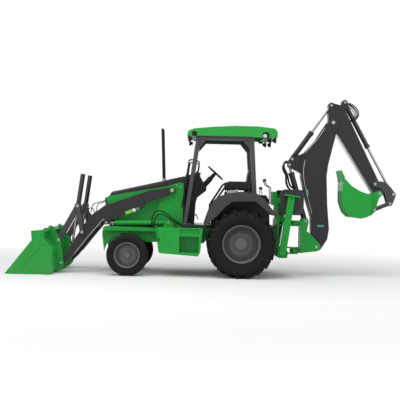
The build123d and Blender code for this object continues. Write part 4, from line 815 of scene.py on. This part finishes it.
print("plain films where the decals sit")
filmSet = {"thick": 0.0012, "edge": 0.0004, "border": 0.003, "rise": 0.0002}
filmSpots = [
    # name, middle, length and height, slope, finish, body
    ("lockFilmLime", (2158, 595.4, 1196), (0.135, 0.062), 0.395, "limeFilm", "loader_arms"),
    ("lockFilmWhite", (2058, 595.4, 1235), (0.062, 0.062), 0.395, "whiteFilm", "loader_arms"),
    ("lockFilmGrey", (1990, 595.4, 1262), (0.062, 0.050), 0.395, "greyFilm", "loader_arms"),
    ("boomFilmLow", (-1600, 130.6, 1003), (0.130, 0.040), 0.0, "tealFilm", "boom"),
    ("boomFilmHigh", (-1320, 130.6, 1660), (0.040, 0.120), 0.12, "tealFilm", "boom"),
]


def films():
    for name, middle, (long, high), slope, finish, body in filmSpots:
        size = (long, filmSet["thick"], high)
        film = slab(at(*middle), size, filmSet["edge"], math.atan(slope), filmSet["border"], filmSet["rise"],
                    "Y")
        settle(film, name, body, finish)


films()

print("hoses and steel lines")
# finish, body, radius in metres, then the holders that the line runs through, in millimetres
lineSpots = {
    "liftHoseUpper": ("hoseRubber", "frame", 0.011, [
        (1108, 600, 965), (1150, 602, 972), (1225, 604, 1030), (1348, 606, 1110), (1452, 606, 1190),
        (1553, 606, 1238), (1643, 604, 1232), (1700, 600, 1130), (1712, 592, 1010), (1712, 572, 940),
        (1712, 556, 900)]),
    "liftHoseLower": ("hoseRubber", "frame", 0.011, [
        (1108, 624, 960), (1150, 626, 966), (1235, 628, 1004), (1350, 630, 1070), (1448, 630, 1140),
        (1540, 630, 1176), (1608, 626, 1160), (1650, 618, 1080), (1668, 604, 1000), (1672, 576, 935),
        (1672, 556, 900)]),
    "armHose": ("hoseRubber", "loader_arms", 0.009, [
        (2884, 380, 1000), (2898, 380, 1056), (2924, 380, 1112), (2944, 380, 1170), (2975, 380, 1235),
        (3030, 380, 1252), (3072, 380, 1200), (3092, 380, 1060), (3086, 380, 900), (3068, 381, 790),
        (3056, 388, 700), (3054, 408, 664), (3054, 445, 652)]),
    "boomHose": ("hoseRubber", "boom", 0.012, [
        (-940, 80, 2262), (-890, 82, 2250), (-838, 84, 2180), (-850, 86, 2090), (-915, 88, 1990),
        (-905, 90, 1900), (-935, 92, 1770), (-1010, 92, 1690), (-1120, 92, 1640), (-1290, 92, 1600)]),
    "boomHoseInner": ("hoseRubber", "boom", 0.010, [
        (-955, 60, 2250), (-905, 74, 2290), (-858, 78, 2240), (-862, 80, 2130), (-930, 80, 2020),
        (-955, 82, 1900), (-985, 84, 1790), (-1060, 86, 1730), (-1150, 88, 1700), (-1290, 88, 1680)]),
    "dipperHose": ("hoseRubber", "dipper", 0.011, [
        (-2070, 66, 3440), (-2130, 68, 3452), (-2210, 70, 3410), (-2290, 72, 3330), (-2318, 72, 3250),
        (-2296, 72, 3170), (-2230, 70, 3110), (-2140, 64, 3090)]),
    "dipperHoseInner": ("hoseRubber", "dipper", 0.009, [
        (-2066, 62, 3400), (-2120, 76, 3410), (-2190, 80, 3360), (-2250, 80, 3280), (-2262, 80, 3200),
        (-2230, 78, 3140), (-2150, 70, 3110)]),
    # a pale plated tube along the arm's lower edge: partly a steel line, partly a painted highlight on the
    # chamfered edge
    "armLineAndHighlight": ("platedSteel", "loader_arms", 0.0075, [
        (2628, 581, 1050), (2680, 581, 1014), (2800, 581, 862), (2915, 581, 720), (3060, 581, 533),
        (3190, 581, 365)]),
    "boomLine": ("platedSteel", "boom", 0.007, [
        (-1262, 135, 2300), (-1236, 135, 2150), (-1236, 135, 1980), (-1262, 135, 1830), (-1330, 135, 1560),
        (-1420, 135, 1240)]),
    # a pale plated tube along the dipper's edge: partly a steel line, partly a painted highlight on that edge
    "dipperLineAndHighlight": ("platedSteel", "dipper", 0.006, [
        (-1900, 89, 2800), (-2100, 89, 2490), (-2300, 89, 2180), (-2500, 89, 1865), (-2620, 89, 1690)]),
    "armTube": ("axleEnamel", "loader_arms", 0.008, [
        (2594, 470, 1296), (2594, 420, 1300), (2597, 384, 1330), (2612, 380, 1404), (2660, 380, 1400),
        (2800, 380, 1356), (2866, 380, 1334), (2884, 380, 1300), (2905, 380, 1210), (2918, 380, 1090),
        (2912, 380, 990)]),
    "boomTopLine": ("platedSteel", "boom", 0.007, [
        (-1262, 135, 2440), (-1390, 135, 2590), (-1520, 135, 2745), (-1640, 135, 2940)]),
}


def linesAndHoses():
    for name, (finish, body, radius, points) in lineSpots.items():
        settleBoth(hose(points, radius), name, body, finish, 50)


linesAndHoses()

print("operator's station: gauges, pedals")
podLean, columnLean = math.radians(28), math.atan2(0.66, 0.75)
# dials: place across and radius; the face's middle as seen from the pod's
consoleSet = {"pod": ((850, 0, 1972), (0.10, 0.27, 0.075), 0.014, -podLean, 0.010, -0.006, "-X"),
              "dials": ((-70, 0.030), (0, 0.038), (70, 0.030)), "face": (-44, 23)}
pedalSet = {"sides": (-110, 30, 110),
            "pad": (846, 1120, (0.016, 0.070, 0.105), 0.004, math.radians(28), 0.008, -0.002, "-X"),
            "arm": (875, 1160, (0.060, 0.016, 0.020), 0.003, math.radians(-20))}
sleeveSet = {"sleeve": ((655, 0, 1825), (0.105, 0.100, 0.200), 0.018, -columnLean, 0.010, 0.004),
             "collar": ((561, 0, 1932), (0.078, 0.078, 0.085), 0.014, -columnLean, 0.008, 0.006)}


def gauges():
    x, y, z = consoleSet["pod"][0]
    ahead, up = consoleSet["face"]
    settle(slabAt(consoleSet["pod"]), "gaugePod", "frame", "blackNylon")
    for number, (side, radius) in enumerate(consoleSet["dials"]):
        middle = at(x + ahead, y + side, z + up)
        dial = turned([(0.0, 0.0), (0.0, radius), (-0.006, radius), (-0.007, radius - 0.004),
                       (-0.004, radius - 0.005), (-0.004, 0.0)], middle, "X", 32)
        editAll(dial)
        bpy.ops.transform.rotate(value=podLean, orient_axis="Y", center_override=middle)
        bpy.ops.object.mode_set(mode="OBJECT")
        settle(dial, "gauge%d" % number, "frame", "dialFace")


def pedals():
    for number, y in enumerate(pedalSet["sides"]):
        for key, name, finish in (("pad", "pedalPad%d", "padRubber"), ("arm", "pedalArm%d", "axleEnamel")):
            x, z, *rest = pedalSet[key]
            settle(slab(at(x, y, z), *rest), name % number, "frame", finish)


def columnSleeve():
    parts = [slabAt(sleeveSet["sleeve"]), slabAt(sleeveSet["collar"])]
    settle(oneOf(parts), "columnSleeve", "frame", "blackNylon")


gauges()
pedals()
columnSleeve()

print("stabilizer pads and step treads")
padSet = {"middle": (-962, 676, 1457), "size": (0.455, 0.030, 0.49), "corner": 0.07, "rim": 0.030,
          "groove": 0.008, "sink": 0.006, "edge": 0.004}
stepSet = {"first": (845, 800, 465), "pitch": (35, 55), "count": (9, 3)}


def stabilizerPads():
    # rubber pads for street work, a plate with cut corners and a sunken middle on both faces
    start()
    bpy.ops.mesh.primitive_cube_add(size=1.0, location=at(*padSet["middle"]), scale=padSet["size"])
    pad = bpy.context.object
    bpy.ops.object.transform_apply(location=True, rotation=True, scale=True)
    pick(pad, "EDGE", lambda middle, line: abs(line.y) > 0.9)
    bpy.ops.mesh.bevel(offset=padSet["corner"], segments=1)
    bpy.ops.object.mode_set(mode="OBJECT")
    for face in (1, -1):
        pick(pad, "FACE", lambda centre, normal: normal.y * face > 0.9)
        bpy.ops.mesh.inset(thickness=padSet["rim"], depth=0.0)
        bpy.ops.mesh.inset(thickness=padSet["groove"], depth=-padSet["sink"])
        bpy.ops.object.mode_set(mode="OBJECT")
    shaped(pad, "BEVEL", width=padSet["edge"], segments=2, limit_method="ANGLE")
    twin = mirrorOf(pad)
    settle(pad, "stabilizerPadLeft", "stabilizer_left", "padRubber")
    settle(twin, "stabilizerPadRight", "stabilizer_right", "padRubber")


def stepTreads():
    (x, y, z), (along, across), (columns, rows) = stepSet["first"], stepSet["pitch"], stepSet["count"]
    for side, word in bothSides:
        studs = [turned([(0.0, 0.006), (0.0, 0.011), (0.004, 0.010), (0.004, 0.007)],
                        at(x + column * along, side * (y + row * across), z), "Z", 10)
                 for row in range(rows) for column in range(columns)]
        settle(oneOf(studs), "stepStuds" + word, "frame", "greenEnamel")


stabilizerPads()
stepTreads()

print("exhaust clamp, latches and bolts")
latchSet = {"latch": ((1552, 978, 700), (0.028, 0.010, 0.060), 0.003, 0.0, 0.006, 0.003, "Y")}
stackSet = {"clamp": (1521, 0, 1850), "boot": (1519, 0, 1806)}
# rows of bolts: heads' radius, how they lie, their places
boltEdge = 0.12             # share of a head's radius
boltRows = [
    (0.010, upright, [(980, 556, 1003), (980, 644, 1003), (1074, 556, 1003), (1074, 644, 1003)]),
    (0.012, sideways, [(1180, 456, 930), (1300, 456, 930), (1640, 456, 930), (1180, 456, 1700),
                       (1250, 456, 1740)]),
    (0.012, sideways, [(-1220, 162, 640), (-1220, 162, 760), (-1220, 162, 880)]),
]


def smallParts():
    clamp = turned([(-0.016, 0.0330), (-0.016, 0.0370), (0.016, 0.0370), (0.016, 0.0330)],
                   at(*stackSet["clamp"]), "Z", 40)
    settle(clamp, "stackClamp", "frame", "platedSteel")
    boot = turned([(-0.040, 0.0345), (-0.040, 0.0440), (-0.026, 0.0438), (0.0, 0.0400), (0.014, 0.0375),
                   (0.014, 0.0345)], at(*stackSet["boot"]), "Z", 40)
    settle(boot, "stackBoot", "frame", "blackNylon", 50)
    settleBoth(slabAt(latchSet["latch"]), "boxLatch", "frame", "axleEnamel")
    bolts = []
    for radius, turn, spots in boltRows:
        bolts += [hexBolt(at(*spot), radius, radius, turn, radius * boltEdge) for spot in spots]
    settleBoth(oneOf(bolts), "frameBolts", "frame", "platedSteel")


smallParts()

print("floor, lights and camera")
stageSet = {"half": 150.0, "nearFade": 3.5, "farFade": 9.0, "floor": "#F4F4F4", "room": "#F2F4F7",
            "ambient": 0.46}
pureWhite = {"Color": (1.0, 1.0, 1.0, 1.0), "Strength": 1.0}
start()
bpy.ops.mesh.primitive_plane_add(size=2 * stageSet["half"], location=(0.0, 0.0, 0.0))
floor = bpy.context.object
floor.name = "floor"
floor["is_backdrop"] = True
# Matt paper underfoot, which fades to plain white away from the machine.
floorMaterial, floorTree, floorOutput, floorCoords = newMaterial("paleFloor")
reach = addNode(floorTree, "ShaderNodeVectorMath", {"operation": "LENGTH"}, {0: floorCoords}).outputs["Value"]
fade = ranged(floorTree, reach, 0.0, 1.0, stageSet["nearFade"], stageSet["farFade"])
lightPath = addNode(floorTree, "ShaderNodeLightPath").outputs
plainView = worked(floorTree, "MAXIMUM", lightPath["Is Camera Ray"], lightPath["Is Glossy Ray"])
matte = addNode(floorTree, "ShaderNodeBsdfDiffuse", {"Color": linear(stageSet["floor"])})
white = addNode(floorTree, "ShaderNodeEmission", pureWhite)
floorMix = addNode(floorTree, "ShaderNodeMixShader", links={
    0: worked(floorTree, "MULTIPLY", fade, plainView), 1: matte.outputs["BSDF"],
    2: white.outputs["Emission"]})
floorTree.links.new(floorMix.outputs["Shader"], floorOutput.inputs["Surface"])
floor.data.materials.append(floorMaterial)

# A soft room lights the machine, while the camera, mirrors and glass see plain white.
world = bpy.data.worlds.new("softRoom")
bpy.context.scene.world = world
world.use_nodes = True
worldTree = world.node_tree
worldTree.nodes.clear()
worldOutput = addNode(worldTree, "ShaderNodeOutputWorld")
worldPath = addNode(worldTree, "ShaderNodeLightPath").outputs
seen = worked(worldTree, "MAXIMUM", worldPath["Is Camera Ray"], worldPath["Is Transmission Ray"])
ambient = addNode(worldTree, "ShaderNodeBackground", {"Color": linear(stageSet["room"]),
                                                      "Strength": stageSet["ambient"]})
backdrop = addNode(worldTree, "ShaderNodeBackground", pureWhite)
worldMix = addNode(worldTree, "ShaderNodeMixShader", links={
    0: worked(worldTree, "MAXIMUM", seen, worldPath["Is Glossy Ray"]), 1: ambient.outputs[0],
    2: backdrop.outputs[0]})
worldTree.links.new(worldMix.outputs["Shader"], worldOutput.inputs["Surface"])

lightSet = {
    "sky": {"size": 9.0, "power": 500.0, "place": (1.0, 4.0, 8.5), "aim": (0.0, 0.0, 0.8)},
    "front": {"size": 6.0, "power": 300.0, "place": (7.5, 9.0, 4.5), "aim": (0.5, 0.0, 1.2)},
    "rear": {"size": 5.0, "power": 180.0, "place": (-8.0, 6.0, 4.0), "aim": (-1.0, 0.0, 1.2)},
    "far": {"size": 7.0, "power": 250.0, "place": (0.0, -9.0, 6.0), "aim": (0.0, 0.0, 1.0)},
}
for lightName, values in lightSet.items():
    bpy.ops.object.light_add(type="AREA", location=values["place"])
    light = bpy.context.object
    light.name = "light_" + lightName
    light.data.energy = values["power"]
    light.data.size = values["size"]
    aim = Vector(values["aim"]) - Vector(values["place"])
    light.rotation_euler = aim.to_track_quat("-Z", "Y").to_euler()

cameraSet = {"ahead": 0.795, "away": 16.5, "height": 1.459, "lens": 74.5, "sensor": 36.0, "roll": 0.02426,
             "sight": 400.0}
bpy.ops.object.camera_add()
camera = bpy.context.object
camera.name = "photoCamera"
camera.data.sensor_width = cameraSet["sensor"]
camera.data.lens = cameraSet["lens"]
camera.data.clip_end = cameraSet["sight"]
rollCos, rollSin = math.cos(cameraSet["roll"]), math.sin(cameraSet["roll"])
turn = Matrix(((-rollCos, rollSin, 0.0), (0.0, 0.0, 1.0), (rollSin, rollCos, 0.0))).to_4x4()
place = Matrix.Translation((cameraSet["ahead"] + axleShift, cameraSet["away"], cameraSet["height"]))
camera.matrix_world = place @ turn
bpy.context.scene.camera = camera
bpy.context.scene.view_settings.view_transform = "Standard"

sizes = {"cad": [list(corner) for corner in cadBounds], "visual": [list(corner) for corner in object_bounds()]}
